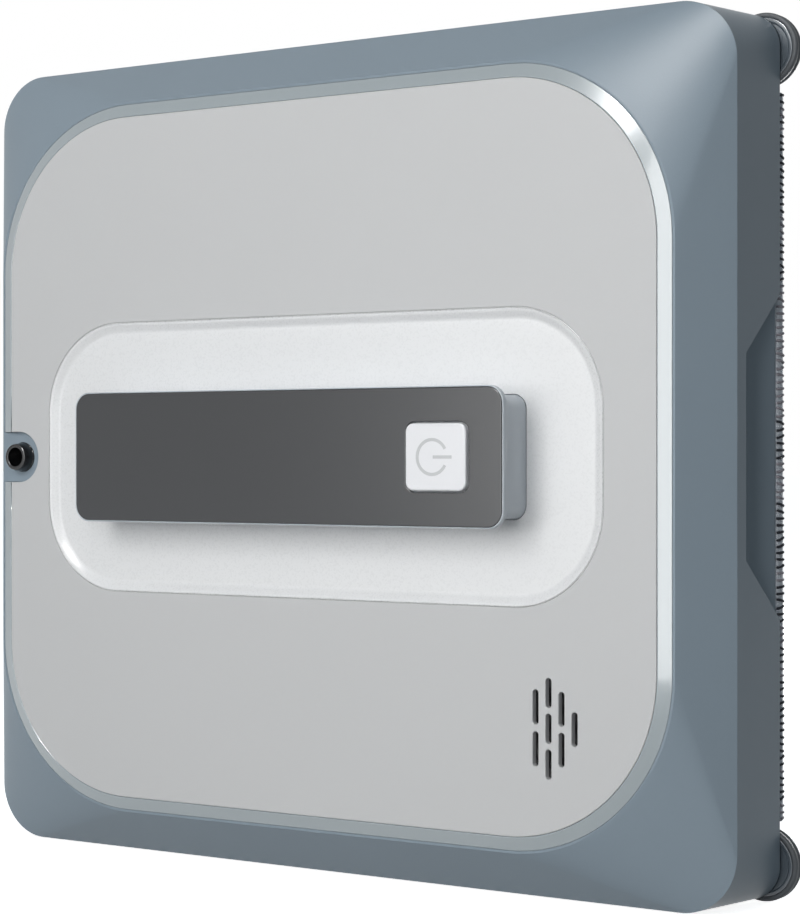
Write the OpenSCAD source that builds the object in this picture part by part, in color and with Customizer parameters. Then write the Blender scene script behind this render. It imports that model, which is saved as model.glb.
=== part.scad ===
// Window cleaning robot, held to the glass by suction and driven by two tracks.
// The glass is the plane Y = 0, the front faces -Y, Z is up and X is to the right.
// The modules draw with the glass level: X right, Y up the window, Z away from the glass.

/* [Body] */
// Width at the widest line round the body
body_w = 263.4; // [255:0.2:300]
// Height at the widest line round the body
body_h = 247.2; // [240:0.2:290]
// Corner radius at the widest line
body_r = 17; // [14:0.5:22]
// Corner radius at the back edge of the shell
back_r = 10; // [8:0.5:12]
// Height of the face plate's front above the glass
front_h = 48; // [46.5:0.5:58]
// Drop from the face plate's front to the widest line
bevel_drop = 14.6; // [12:0.2:17]
// Gap between the glass and the back edge of the shell
back_gap = 5.6; // [5.2:0.1:7]
// Wall of the outer shell
shell_t = 2.4; // [1.8:0.1:3]
// Thickness of the base plate
base_t = 3; // [2:0.2:4]

/* [Face plate] */
// Distance of the face plate's ends inside the body's widest line
plate_in_w = 16.7; // [15.7:0.1:23.7]
// Distance of the face plate's top and bottom inside the body's widest line
plate_in_h = 18.6; // [17.6:0.1:23.6]
// Corner radius of the face plate
plate_r = 46.6; // [38:0.2:55]
// Thickness of the face plate
plate_t = 2.2; // [1.6:0.1:2.6]
// Width of the bright trim round the face plate
trim_w = 4; // [3:0.2:5]
// Drop from the inner to the outer edge of the trim
trim_drop = 1.4; // [0.8:0.1:1.8]
// Width of the flat lip of the shell outside the trim
lip_w = 0.7; // [0.5:0.1:1.4]
// How far the shell's ledge reaches under the face plate
ledge_w = 8; // [5:0.5:10]

/* [Handle] */
// Distance of the white dish's ends inside the face plate
dish_in_w = 15.9; // [13:0.1:22.5]
// Height of the white dish round the handle
dish_h = 83.2; // [78:0.2:92]
// Corner radius of the dish
dish_r = 27.9; // [22:0.1:34]
// Depth of the dish floor behind the face plate
dish_depth = 1.6; // [1.2:0.1:2.4]
// Width of the soft slope round the dish floor
dish_slope = 3.6; // [2.4:0.2:5]
// Distance of the dark handle cover's ends inside the dish
cover_in_w = 23.5; // [19:0.1:29]
// Height of the dark handle cover
cover_h = 38.4; // [35:0.2:42]
// Corner radius of the handle cover
cover_r = 4.6; // [3:0.2:7]
// How far the handle stands in front of the face plate
grip_rise = 14; // [12:0.5:22]
// Inset of the handle's stem from the cover at its ends
stem_in_w = 1.8; // [1.2:0.2:4]
// Inset of the handle's stem from the cover along its sides
stem_in_h = 2.2; // [1.2:0.2:4]

/* [Power button] */
// Width of the power button
button_w = 19.7; // [17:0.1:22]
// Height of the power button
button_h = 18.7; // [16:0.1:20]
// Corner radius of the power button
button_r = 2.5; // [1.5:0.1:4]
// Distance of the button's middle from the right end of the handle cover
button_in = 20.8; // [19.6:0.2:35.6]
// How far the button goes in
button_travel = 0.8; // [0.5:0.1:1]
// How far the button stands in front of the handle cover
button_rise = 0.9; // [0.9:0.1:1.4]

/* [Side grips] */
// Distance of a side grip recess's back corners from the body's top or bottom
recess_in = 78.6; // [74:0.2:84]
// How much shorter each end of the recess is at its front edge
recess_slant = 17; // [14:0.2:20]
// Distance of the recess's front edge behind the face plate
recess_drop = 20.2; // [18.2:0.2:23]
// Depth of the recess at its front edge
recess_deep = 7; // [5:0.5:8]
// Depth of the recess at the back edge of the shell
recess_shallow = 1.5; // [1:0.1:2.5]

/* [Power inlet] */
// Distance of the inlet's axis inside the body's left side
inlet_in = 20; // [17.7:0.1:23.7]
// Radius of the notch round the inlet
notch_r = 8; // [7:0.2:9]
// Depth of the notch floor behind the face plate
notch_depth = 2; // [1.8:0.1:2.6]
// Radius of the inlet at its foot
inlet_r = 4.75; // [4.4:0.05:5.2]
// Radius of the inlet at its mouth
mouth_r = 4.15; // [3.8:0.05:4.3]
// Bore radius of the inlet
inlet_bore = 3; // [2.5:0.1:3.2]
// Depth of the inlet's bore
inlet_deep = 8; // [6:0.5:10]

/* [Loudspeaker] */
// Distance of the loudspeaker's axis inside the face plate's right end
speaker_in = 30.9; // [29:0.1:35]
// Distance of the loudspeaker's axis above the face plate's bottom
speaker_up = 30.6; // [29:0.1:33]
// Width of one sound slot
slot_w = 1.8; // [1.2:0.1:2.2]
// Length of the longest sound slot
slot_l = 9.6; // [8:0.1:9.8]
// Distance between the columns of sound slots
slot_pitch = 4.07; // [3.4:0.01:4.6]

/* [Tracks] */
// Distance of each track's middle line inside the body's top or bottom
track_in = 61.6; // [59.6:0.1:62.1]
// Distance of a track's wheels inside the body's sides
wheel_in = 67.7; // [65.7:0.1:71.7]
// Outer radius of a belt round its wheel
belt_r = 16; // [15.6:0.1:16.4]
// Thickness of a belt
belt_t = 2.5; // [2:0.1:3]
// Width of a belt
belt_w = 15; // [12:0.5:15.5]
// Grooves along the straight of a belt
belt_grooves = 25; // [15:1:30]

/* [Suction fan] */
// Gap between the suction seal and the tracks
seal_side = 4.5; // [3.5:0.1:6.5]
// Inset of the fan housing inside the seal
fan_in = 9.5; // [9:0.5:11]
// Inset of the fan wheel inside its housing
impeller_in = 6.5; // [6:0.5:12]
// Radius of the suction port as a share of the seal's
port_share = 0.4; // [0.32:0.01:0.44]
// Blades of the fan wheel
blades = 9; // [5:1:12]

/* [Corner rollers] */
// Radius of a corner roller
roller_r = 10.4; // [9.8:0.2:11.4]
// Distance of a roller's axis inside the body's side
roller_in = 5.5; // [4.8:0.1:6.5]
// Distance of a roller's axis inside the body's top or bottom
roller_down = 10.1; // [9.5:0.1:11]

/* [Edge sensors] */
// Distance of an edge sensor from a roller's axis along the width
sensor_dx = 22.5; // [21:0.5:24]
// Distance of an edge sensor from a roller's axis along the height
sensor_dy = 21.7; // [20.2:0.1:23.2]
// Radius of an edge sensor's pin
sensor_r = 3; // [2.4:0.1:3.4]
// How far an edge sensor's pin goes in
sensor_travel = 1.5; // [1:0.1:2]

/* [Cleaning cloth] */
// Inset of the cloth from the body's sides
cloth_in = 1; // [0.5:0.1:2]
// Room between a track's ends and the cloth
track_room_w = 12; // [10:0.5:14]
// Room between a track's gearbox and the cloth
track_room_h = 3.6; // [2.1:0.1:4.6]
// Corner radius of the opening inside the cloth
cloth_open_r = 20; // [14:1:26]

/* [Hidden] */
$fn = 48;

// Overrun of the cuts
over = 1;
// Gap between fixed pieces that slide together
fit = 0.15;
// Gap between moving pieces
clear = 0.4;
// Radial gap of a shaft in its bore
run = 0.06;
// Thin slice that starts or ends a lofted skin
slice = 0.2;
// Segments of a lofted corner
loft_fn = 64;

// Heights above the glass
crease_h = front_h - bevel_drop;
plate_w = body_w - 2 * plate_in_w;
plate_h = body_h - 2 * plate_in_h;
dish_w = plate_w - 2 * dish_in_w;
cover_w = dish_w - 2 * cover_in_w;
button_x = cover_w / 2 - button_in;
inlet_x = body_w / 2 - inlet_in;
speaker_x = plate_w / 2 - speaker_in;
speaker_y = plate_h / 2 - speaker_up;
recess_back = body_h / 2 - recess_in;
recess_front = recess_back - recess_slant;
track_y = body_h / 2 - track_in;
wheel_x = body_w / 2 - wheel_in;
seal_r = track_y - belt_w / 2 - seal_side;
fan_r = seal_r - fan_in;
impeller_r = fan_r - impeller_in;
port_r = port_share * seal_r;
plate_under = front_h - plate_t;
trim_t = 3.6;
trim_under = front_h - trim_t;
ledge_t = 2;
ledge_under = trim_under - ledge_t;
skin_top = front_h - trim_drop - slice;
base_top = back_gap + base_t;
dish_t = 1.8;
dish_floor = front_h - dish_depth;
dish_under = dish_floor - dish_t;
cover_top = front_h + grip_rise;
notch_floor = front_h - notch_depth;

// Outlines
trim_gap = fit;
trim_out_w = plate_w + 2 * trim_w;
trim_out_h = plate_h + 2 * trim_w;
trim_out_r = plate_r + trim_w;
skin_w = trim_out_w + 2 * (trim_gap + lip_w);
skin_h = trim_out_h + 2 * (trim_gap + lip_w);
skin_r = trim_out_r + trim_gap + lip_w;
inner_w = body_w - 2 * shell_t;
inner_h = body_h - 2 * shell_t;
inner_r = body_r - shell_t;
base_w = inner_w - 2 * fit;
base_h = inner_h - 2 * fit;
corner_rise = base_t * (body_r - back_r) / (crease_h - back_gap);
base_r = back_r + corner_rise - shell_t - fit;

// Slope of the bevel from the widest line to the lip
bevel_rise = skin_top - crease_h;
bevel_share = (skin_top - ledge_under) / bevel_rise;
wall_run = shell_t * sqrt(2);
roof_w = skin_w + bevel_share * (body_w - skin_w) - 2 * wall_run;
roof_h = skin_h + bevel_share * (body_h - skin_h) - 2 * wall_run;
roof_r = skin_r + bevel_share * (body_r - skin_r) - wall_run / 2;
crease_in = shell_t / 2;

// Handle
cover_t = 1.4;
rim_t = 0.4;
flange_t = 2.2;
flange_under = cover_top - flange_t;
grip_w = cover_w - 2 * stem_in_w;
grip_h = cover_h - 2 * stem_in_h;
grip_r = cover_r - stem_in_w / 2;
grip_wall = 2.2;
cover_under = cover_top - cover_t;
slope_steps = 8;

// Switch board under the button
dome_r = 3.4;
dome_t = 3.4;
button_foot = 1;
button_lap = 1.5;
board_t = 1.6;
stem_r = 2.2;
flange_top = flange_under - clear;
foot_under = flange_top - button_foot;
stem_end = foot_under - button_travel - clear;
dome_top = stem_end - clear;
switch_top = dome_top - dome_t;
switch_under = switch_top - board_t;
switch_w = 18;
switch_h = 23;
rib_t = 1.8;
rib_lap = 1;
post_r = 3.2;
post_in = 5.2;
post_cap = 1;
wire_r = 2.1;

// Power symbol
icon_r = 5.25;
icon_line = 0.9;
icon_shift = 1;
icon_gap = 28;
icon_start = 0.3;
icon_end = 6.4;
icon_deep = 0.6;
icon_proud = 0.05;

// Screws
screw_r = 1.4;
screw_head_r = 2.8;
screw_head_t = 1.6;
screw_l = 12;
boss_r = 4;
boss_in = 5;
side_screw_gap = 21;
end_screw_gap = 36.2;
side_screw_y = recess_back + side_screw_gap;
wall_cut_gap = 13;
wall_cut_y = recess_back + wall_cut_gap;
end_screw_x = body_w / 2 - roller_in - end_screw_gap;
boss_top = crease_h - shell_t;

// Louvres in the lower side wall, on both sides of its middle screw
louvre_w = 3;
louvre_pitch = 7;
louvres = 4;
louvre_up = 2.4;
louvre_down = 6.4;
louvre_low = base_top + louvre_up;
louvre_high = crease_h - louvre_down;

// Inlet
socket_body_r = 4.2;
socket_l = 15;
contact_t = 1;
contact_r = 1;
mouth_h = front_h + notch_depth;

// Loudspeaker
speaker_r = 14;
speaker_t = 7;
magnet_r = 8;
speaker_wall = 2.2;
cone_t = 1;
cone_r = speaker_r - speaker_wall + fit;
magnet_t = 3.4;

// Tracks
tread_gap = 0.2;
belt_clear = 1;
axle_h = belt_r + tread_gap;
belt_in_r = belt_r - belt_t;
wheel_r = belt_in_r - 0.75 * clear;
wheel_w = belt_w - 1;
groove_deep = 1.1;
groove_w = 2.2;
rib_w = 3;
rib_deep = 1.6;
channel_w = 3.8;
channel_deep = 2.1;
axle_r = 2;
axle_bore = axle_r + run;
hub_r = 5;
web_t = 3;
rim_band = 1;
lug_w = 12;
lug_t = 3;
lug_gap = 0.6;
lug_rise = 5;
slot_end = 1.5;

// Gears, whose mesh sets the motor's place
gear_module = 0.9;
gear_teeth = 21;
pinion_teeth = 9;
gear_w = 5;
gear_thin = 0.35;
gear_slack = 0.15;
addendum_share = 0.9;
dedendum_share = 1.2;
flank_steps = 4;
pressure = 20;
gear_pitch_r = gear_teeth * gear_module / 2;
pinion_pitch_r = pinion_teeth * gear_module / 2;
gear_tip_r = gear_pitch_r + addendum_share * gear_module;
pinion_tip_r = pinion_pitch_r + addendum_share * gear_module;
mesh_d = gear_pitch_r + pinion_pitch_r + gear_slack;
motor_r = 12;
motor_l = 28;
motor_h = base_top + clear + motor_r;
mesh_rise = motor_h - axle_h;
mesh_run = sqrt(mesh_d * mesh_d - mesh_rise * mesh_rise);
mesh_angle = atan2(mesh_rise, -mesh_run);
motor_x = wheel_x - mesh_run;
case_t = 1.5;
case_gap = 0.6;
gear_y = track_y + belt_w / 2 + lug_gap + case_t + clear;
case_y = track_y + belt_w / 2 + lug_gap;
case_floor_y = gear_y + gear_w + clear;
case_end_t = 2;
case_end_y = case_floor_y + case_end_t;
shaft_r = 1.2;
case_left = motor_x - pinion_tip_r - case_gap - case_t;
case_right = wheel_x + gear_tip_r + case_gap + case_t;
case_low = axle_h - gear_tip_r - case_gap - case_t;
case_high = max(axle_h + gear_tip_r, motor_h + pinion_tip_r) + case_gap + case_t;
ear_w = 5;
ear_t = 2.4;
lug_y = track_y - belt_w / 2 - lug_gap - lug_t;
idler_lug_y = track_y + belt_w / 2 + lug_gap;

// Suction fan
fan_wall = 2;
fan_floor_t = 2;
lid_gap = 1.2;
fan_top = dish_under - lid_gap;
fan_lid_t = 2;
impeller_gap = 1.4;
impeller_low = base_top + fan_floor_t + impeller_gap;
blade_h = 8.5;
blade_t = 1.4;
blade_turn = 35;
blade_l_share = 0.62;
disc_t = 1.6;
impeller_hub_r = 6;
disc_low = impeller_low + blade_h;
shaft_fan_r = 2;
fan_motor_share = 0.5;
fan_motor_r = fan_motor_share * impeller_r;
disc_gap = 2;
fan_motor_low = disc_low + disc_t + disc_gap;
grille_ring = 2.5;
grille_bar = 1.6;
grille_inset = 0.4;
seal_w = 4;
seal_gap = 0.3;
duct_w = 30;
duct_t = 1.6;
duct_past = 20;
duct_end = track_y + duct_past;
duct_low = axle_h + belt_r + belt_clear;

// Power store and boards
cell_r = 9.2;
cell_room = 25;
cell_l = end_screw_x - cell_room;
cell_gap = 1;
tray_t = 1.2;
tray_h = 11;
tray_shift = 3;
tray_x = tray_shift - end_screw_x / 2;
tray_in = 24.2;
tray_y = body_h / 2 - tray_in;
pcb_t = 1.6;
pcb_room = 24;
pcb_w = end_screw_x - pcb_room;
pcb_h = 34;
pcb_shift = 1;
pcb_x = end_screw_x / 2 - pcb_shift;
pcb_in = 26.6;
pcb_y = body_h / 2 - pcb_in;
pcb_rise = 4.4;
pcb_low = base_top + pcb_rise;
pcb_post_r = 2.4;
chip_h_shares = [0.5, 0.35, 1, 0.7];
chip_t = 5;
chip_w = 12;

// Corner rollers
roller_x = body_w / 2 - roller_in;
roller_y = body_h / 2 - roller_down;
roller_low = 1.2;
roller_top = back_gap - clear;
tyre_w = 1.4;
tyre_edge = 0.6;
pin_r = 1.6;
pin_head_r = 3;
pin_head_t = 0.6;
pin_head_low = roller_low - 0.75 * clear - pin_head_t;
roller_gap = 2.4;

// Edge sensors
sensor_x = roller_x - sensor_dx;
sensor_y = roller_y - sensor_dy;
sensor_low = 0.3;
collar_r = 5;
collar_t = 1.5;
collar_low = base_top + clear;
stub_l = 3.6;
pin_top = collar_low + collar_t + stub_l;
sleeve_in = 5.6;
sleeve_out = 7.4;
spring_in = 3.8;
spring_out = 4.6;
sleeve_top = pin_top + sensor_travel + clear;
switch_l = 13;
switch_d = 11;
edge_switch_t = 7;
sensor_hole_r = 5.5;
tip_r = 1;

// Cloth
hook_t = 0.8;
cloth_t = back_gap - hook_t;
cloth_w = body_w - 2 * cloth_in;
cloth_h = body_h - 2 * cloth_in;
cloth_open_w = 2 * (wheel_x + belt_r + track_room_w);
cloth_open_h = 2 * (case_end_y + track_room_h);
cloth_r = back_r - cloth_in;
hook_w = 16;
hook_long = 168;
hook_short = 116;

// Rounded rectangle, flat
module rounded(w, h, r) {
    square([w - 2 * r, h], center = true);
    square([w, h - 2 * r], center = true);
    for (sx = [-1, 1])
        for (sy = [-1, 1])
            translate([sx * (w / 2 - r), sy * (h / 2 - r)])
                circle(r);
}

// Rounded block between two heights
module slab(w, h, r, low, high) {
    translate([0, 0, low])
        linear_extrude(high - low)
            rounded(w, h, r);
}

// Rounded frame of one band width between two heights
module frame(w, h, r, band, low, high) {
    difference() {
        slab(w, h, r, low, high);
        slab(w - 2 * band, h - 2 * band, r - band, low - over, high + over);
    }
}

// Upright cylinder between two heights
module post(r, low, high) {
    translate([0, 0, low])
        cylinder(r = r, h = high - low);
}

// Upright tube between two heights
module tube(r_out, r_in, low, high) {
    difference() {
        post(r_out, low, high);
        post(r_in, low - over, high + over);
    }
}

// Carries a flat section round a rounded rectangle, section X outward and section Y up
module sweep(w, h, r) {
    for (k = [0:3]) {
        across = k % 2 == 0 ? w : h;
        along = k % 2 == 0 ? h : w;
        rotate([0, 0, 90 * k]) {
            translate([across / 2, along / 2 - r, 0])
                rotate([90, 0, 0])
                    linear_extrude(along - 2 * r)
                        children();
            translate([across / 2 - r, along / 2 - r, 0])
                rotate_extrude(angle = 90)
                    translate([r, 0])
                        children();
        }
    }
}

// Cylinder along the window's height, between two distances from the middle
module bar_y(r, from, to) {
    translate([0, from, 0])
        rotate([-90, 0, 0])
            cylinder(r = r, h = to - from);
}

// Stands the drawing up against the glass
module stand() {
    rotate([90, 0, 0])
        children();
}

// The same drawing turned half round, for the lower track
module half_turn(k) {
    rotate([0, 0, 180 * k])
        children();
}

// Places of the screws that hold the base plate
screw_places = [for (sx = [-1, 1]) for (sy = [-1, 1]) [sx * (inner_w / 2 - boss_in), sy * side_screw_y],
    for (sx = [-1, 0, 1]) for (sy = [-1, 1]) [sx * end_screw_x, sy * (inner_h / 2 - boss_in)]];
corner_signs = [[-1, 1], [1, 1], [1, -1], [-1, -1]];

// Outline of the notch round the inlet
module notch_outline(gap) {
    circle(notch_r - gap);
    translate([-body_w / 2, -(notch_r - gap)])
        square([body_w / 2, 2 * (notch_r - gap)]);
}

// Space of one side grip, wider by extra on its inside
module recess_space(extra, low) {
    high = front_h - recess_drop + extra;
    slant = (recess_back - recess_front) / (front_h - recess_drop - back_gap);
    half_high = recess_front + extra - slant * extra;
    half_low = recess_front + extra + slant * (front_h - recess_drop - low);
    ramp = (recess_deep - recess_shallow) / (front_h - recess_drop - back_gap);
    in_high = body_w / 2 - recess_deep - extra;
    in_low = in_high + ramp * (front_h - recess_drop - low);
    intersection() {
        rotate([90, 0, 90])
            linear_extrude(body_w)
                polygon([[-half_high, high], [half_high, high], [half_low, low], [-half_low, low]]);
        rotate([90, 0, 0])
            linear_extrude(body_h, center = true)
                polygon([[in_high, high], [body_w / 2 + over, high], [body_w / 2 + over, low],
                    [in_low, low]]);
    }
}

// Closed skin of the body
module skin() {
    hull() {
        slab(body_w, body_h, back_r, back_gap, back_gap + slice, $fn = loft_fn);
        slab(body_w, body_h, body_r, crease_h - slice, crease_h, $fn = loft_fn);
        slab(skin_w, skin_h, skin_r, skin_top - slice, skin_top, $fn = loft_fn);
    }
}

module skin_hollow() {
    hull() {
        slab(inner_w, inner_h, back_r - shell_t, back_gap - over, back_gap, $fn = loft_fn);
        slab(inner_w, inner_h, inner_r, crease_h - crease_in - slice, crease_h - crease_in,
            $fn = loft_fn);
        slab(roof_w, roof_h, roof_r, ledge_under - slice, ledge_under, $fn = loft_fn);
    }
}

module shell_bosses() {
    intersection() {
        union() {
            for (p = screw_places)
                translate(p)
                    post(boss_r, base_top, boss_top);
            for (p = screw_places)
                translate(p)
                    translate([abs(p[0]) > end_screw_x ? 0 : -boss_r / 2,
                        abs(p[0]) > end_screw_x ? -boss_r / 2 : 0, base_top])
                        mirror([abs(p[0]) > end_screw_x && p[0] < 0 ? 1 : 0,
                            abs(p[0]) <= end_screw_x && p[1] < 0 ? 1 : 0, 0])
                            cube([abs(p[0]) > end_screw_x ? boss_in + crease_in : boss_r,
                                abs(p[0]) > end_screw_x ? boss_r : boss_in + crease_in,
                                boss_top - base_top]);
        }
        slab(body_w - shell_t, body_h - shell_t, body_r - shell_t / 2, base_top, crease_h);
    }
}

module louvre_cuts() {
    for (s = [-1, 1], k = [1:louvres])
        translate([s * k * louvre_pitch, -body_h / 2, 0])
            rotate([90, 0, 0])
                linear_extrude(4 * shell_t, center = true) {
                    translate([-louvre_w / 2, louvre_low])
                        square([louvre_w, louvre_high - louvre_low]);
                    for (h = [louvre_low, louvre_high])
                        translate([0, h])
                            circle(louvre_w / 2);
                }
}

module whole_shell() {
    difference() {
        union() {
            difference() {
                skin();
                skin_hollow();
                slab(plate_w - 2 * ledge_w, plate_h - 2 * ledge_w, plate_r - ledge_w,
                    ledge_under - over, front_h);
                slab(trim_out_w + 2 * trim_gap, trim_out_h + 2 * trim_gap,
                    trim_out_r + trim_gap, trim_under, front_h);
            }
            frame(plate_w - 2 * fit, plate_h - 2 * fit, plate_r - fit, ledge_w - fit,
                trim_under, plate_under);
            translate([-inlet_x, 0, ledge_under])
                linear_extrude(notch_floor - ledge_under)
                    intersection() {
                        notch_outline(fit);
                        translate([inlet_x - trim_out_w / 2 - trim_gap, -notch_r])
                            square([trim_w + 2 * notch_r + plate_w / 2 - inlet_x, 2 * notch_r]);
                    }
            for (k = [0, 1])
                mirror([k, 0, 0])
                    intersection() {
                        recess_space(shell_t, back_gap);
                        slab(body_w - shell_t, body_h - shell_t, body_r, back_gap, crease_h);
                    }
            shell_bosses();
        }
        for (k = [0, 1])
            mirror([k, 0, 0])
                recess_space(0, back_gap - over);
        translate([-inlet_x, 0, notch_floor])
            linear_extrude(notch_depth)
                notch_outline(fit);
        translate([-inlet_x, 0, 0])
            post(socket_body_r, ledge_under - over, front_h);
        for (p = screw_places)
            translate(p)
                post(screw_r, back_gap, back_gap + screw_head_t + screw_l + over);
        louvre_cuts();
    }
}

// The shell is one moulding, cut at its crease and beside the side grips into three nodes
module outer_shell() {
    color([0.50, 0.56, 0.60])
        stand()
            intersection() {
                whole_shell();
                slab(body_w + 2 * over, body_h + 2 * over, body_r, crease_h, front_h);
            }
}

module side_walls() {
    color([0.50, 0.56, 0.60])
        stand()
            intersection() {
                whole_shell();
                for (k = [-1, 1])
                    translate([k * body_w / 2, 0, (back_gap + crease_h) / 2])
                        cube([body_w / 2, 2 * wall_cut_y, crease_h - back_gap], center = true);
            }
}

module end_walls() {
    color([0.50, 0.56, 0.60])
        stand()
            intersection() {
                whole_shell();
                for (k = [-1, 1])
                    translate([0, k * body_h / 2, (back_gap + crease_h) / 2])
                        cube([body_w + 2 * over, body_h - 2 * wall_cut_y, crease_h - back_gap],
                            center = true);
            }
}

// Columns of sound slots: column, rows above and below the middle, and the slots' length
slot_shares = [[-1.5, 0.6, 1], [-1.5, -0.6, 1], [-0.5, 1.02, 0.85], [-0.5, 0, 0.85],
    [-0.5, -1.02, 0.85], [0.5, 0.58, 0.98], [0.5, -0.58, 0.98], [1.5, 0.03, 0.97]];

module sound_slots() {
    for (s = slot_shares)
        translate([speaker_x + s[0] * slot_pitch, -speaker_y + s[1] * slot_l]) {
            square([slot_w, s[2] * slot_l - slot_w], center = true);
            for (k = [-1, 1])
                translate([0, k * (s[2] * slot_l - slot_w) / 2])
                    circle(slot_w / 2);
        }
}

module face_plate() {
    color([0.79, 0.79, 0.79])
        stand()
            difference() {
                slab(plate_w, plate_h, plate_r, plate_under, front_h);
                slab(dish_w, dish_h, dish_r, plate_under - over, front_h + over);
                translate([-inlet_x, 0, plate_under - over])
                    linear_extrude(plate_t + 2 * over)
                        notch_outline(0);
                translate([0, 0, plate_under - over])
                    linear_extrude(plate_t + 2 * over)
                        sound_slots();
            }
}

module plate_trim() {
    color([0.93, 0.94, 0.94])
        stand()
            difference() {
                sweep(plate_w, plate_h, plate_r)
                    polygon([[0, trim_under], [trim_w, trim_under], [trim_w, front_h - trim_drop],
                        [0, front_h]]);
                translate([-inlet_x, 0, trim_under - over])
                    linear_extrude(trim_t + 2 * over)
                        notch_outline(0);
            }
}

// Height of the dish's soft slope at a share of its width, a half wave
function slope_h(s) = dish_depth * (1 - cos(180 * s)) / 2;

module handle_dish() {
    color([0.90, 0.90, 0.91])
        stand()
            difference() {
                union() {
                    slab(dish_w - 2 * dish_slope, dish_h - 2 * dish_slope, dish_r - dish_slope,
                        dish_under, dish_floor);
                    sweep(dish_w - 2 * dish_slope, dish_h - 2 * dish_slope, dish_r - dish_slope)
                        polygon([[0, dish_under], [dish_slope, dish_under],
                            for (k = [slope_steps:-1:0])
                                [dish_slope * k / slope_steps,
                                    dish_floor + slope_h(k / slope_steps)]]);
                }
                for (p = grip_posts)
                    translate(p)
                        post(screw_r, dish_under - over, dish_floor + over);
                post(wire_r, dish_under - over, dish_floor + over);
            }
}

grip_posts = [for (sx = [-1, 1]) for (sy = [-1, 1])
    [sx * (grip_w / 2 - post_in), sy * (grip_h / 2 - post_in)]];

module handle_grip() {
    color([0.66, 0.68, 0.71])
        stand()
            difference() {
                union() {
                    frame(grip_w, grip_h, grip_r, grip_wall, dish_floor, flange_under);
                    slab(cover_w + 2 * rim_t, cover_h + 2 * rim_t, cover_r + rim_t, flange_under,
                        cover_top - rim_t / 2);
                    for (p = grip_posts)
                        translate(p)
                            post(post_r, dish_floor, dish_under + screw_l + post_cap);
                    for (k = [0, 1])
                        mirror([0, k, 0])
                            translate([button_x - rib_t / 2, switch_h / 2 - rib_lap, dish_floor])
                                cube([rib_t, (grip_h - grip_wall - switch_h) / 2 + rib_lap,
                                    switch_under - dish_floor]);
                }
                slab(cover_w, cover_h, cover_r, cover_under, cover_top);
                translate([button_x, 0, 0])
                    slab(button_w + 2 * clear, button_h + 2 * clear, button_r + clear,
                        flange_under - over, cover_top);
                for (p = grip_posts)
                    translate(p)
                        post(screw_r, dish_floor - over, dish_under + screw_l);
            }
}

module handle_cover() {
    color([0.35, 0.35, 0.36])
        stand()
            difference() {
                slab(cover_w, cover_h, cover_r, cover_under, cover_top);
                translate([button_x, 0, 0])
                    slab(button_w + 2 * clear, button_h + 2 * clear, button_r + clear,
                        cover_under - over, cover_top + over);
            }
}

// Outline of the power symbol, its bar to the right
module icon_outline() {
    translate([button_x - icon_shift, 0]) {
        difference() {
            circle(icon_r);
            circle(icon_r - icon_line);
            polygon([[0, 0], [2 * icon_r * cos(icon_gap), 2 * icon_r * sin(icon_gap)],
                [2 * icon_r * cos(icon_gap), -2 * icon_r * sin(icon_gap)]]);
        }
        translate([icon_start, -icon_line / 2])
            square([icon_end - icon_start, icon_line]);
    }
}

module power_button() {
    color([0.93, 0.93, 0.93])
        stand()
            difference() {
                union() {
                    translate([button_x, 0, 0]) {
                        slab(button_w, button_h, button_r, foot_under, cover_top + button_rise);
                        slab(button_w + 2 * button_lap, button_h + 2 * button_lap,
                            button_r + button_lap, foot_under, flange_top);
                        post(stem_r, stem_end, foot_under);
                    }
                }
                translate([0, 0, cover_top + button_rise - icon_deep])
                    linear_extrude(icon_deep + over)
                        icon_outline();
            }
}

module power_icon() {
    color([0.78, 0.78, 0.78])
        stand()
            translate([0, 0, cover_top + button_rise - icon_deep])
                linear_extrude(icon_deep + icon_proud)
                    icon_outline();
}

module button_dome() {
    color([0.25, 0.26, 0.28])
        stand()
            translate([button_x, 0, switch_top])
                cylinder(r1 = dome_r, r2 = stem_r, h = dome_t);
}

module switch_board() {
    color([0.10, 0.36, 0.20])
        stand()
            translate([button_x, 0, (switch_under + switch_top) / 2])
                cube([switch_w, switch_h, board_t], center = true);
}

module speaker() {
    color([0.13, 0.13, 0.14])
        stand()
            translate([speaker_x, -speaker_y, 0]) {
                tube(speaker_r, speaker_r - speaker_wall, plate_under - speaker_t + magnet_t,
                    plate_under);
                post(magnet_r, plate_under - speaker_t, plate_under - speaker_t + magnet_t);
                difference() {
                    translate([0, 0, plate_under - speaker_t + magnet_t])
                        cylinder(r1 = magnet_r, r2 = cone_r, h = speaker_t - magnet_t - cone_t);
                    translate([0, 0, plate_under - speaker_t + magnet_t + cone_t])
                        cylinder(r1 = magnet_r, r2 = cone_r, h = speaker_t - magnet_t - cone_t);
                }
            }
}

module inlet_socket() {
    color([0.07, 0.07, 0.08])
        stand()
            translate([-inlet_x, 0, 0])
                difference() {
                    union() {
                        translate([0, 0, notch_floor])
                            cylinder(r1 = inlet_r, r2 = mouth_r, h = mouth_h - notch_floor);
                        post(socket_body_r, mouth_h - socket_l, notch_floor);
                    }
                    post(inlet_bore, mouth_h - inlet_deep, mouth_h + over);
                }
}

module inlet_contact() {
    color([0.80, 0.66, 0.35])
        stand()
            translate([-inlet_x, 0, 0])
                tube(inlet_bore, contact_r, mouth_h - socket_l - contact_t, mouth_h - socket_l);
}

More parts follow.
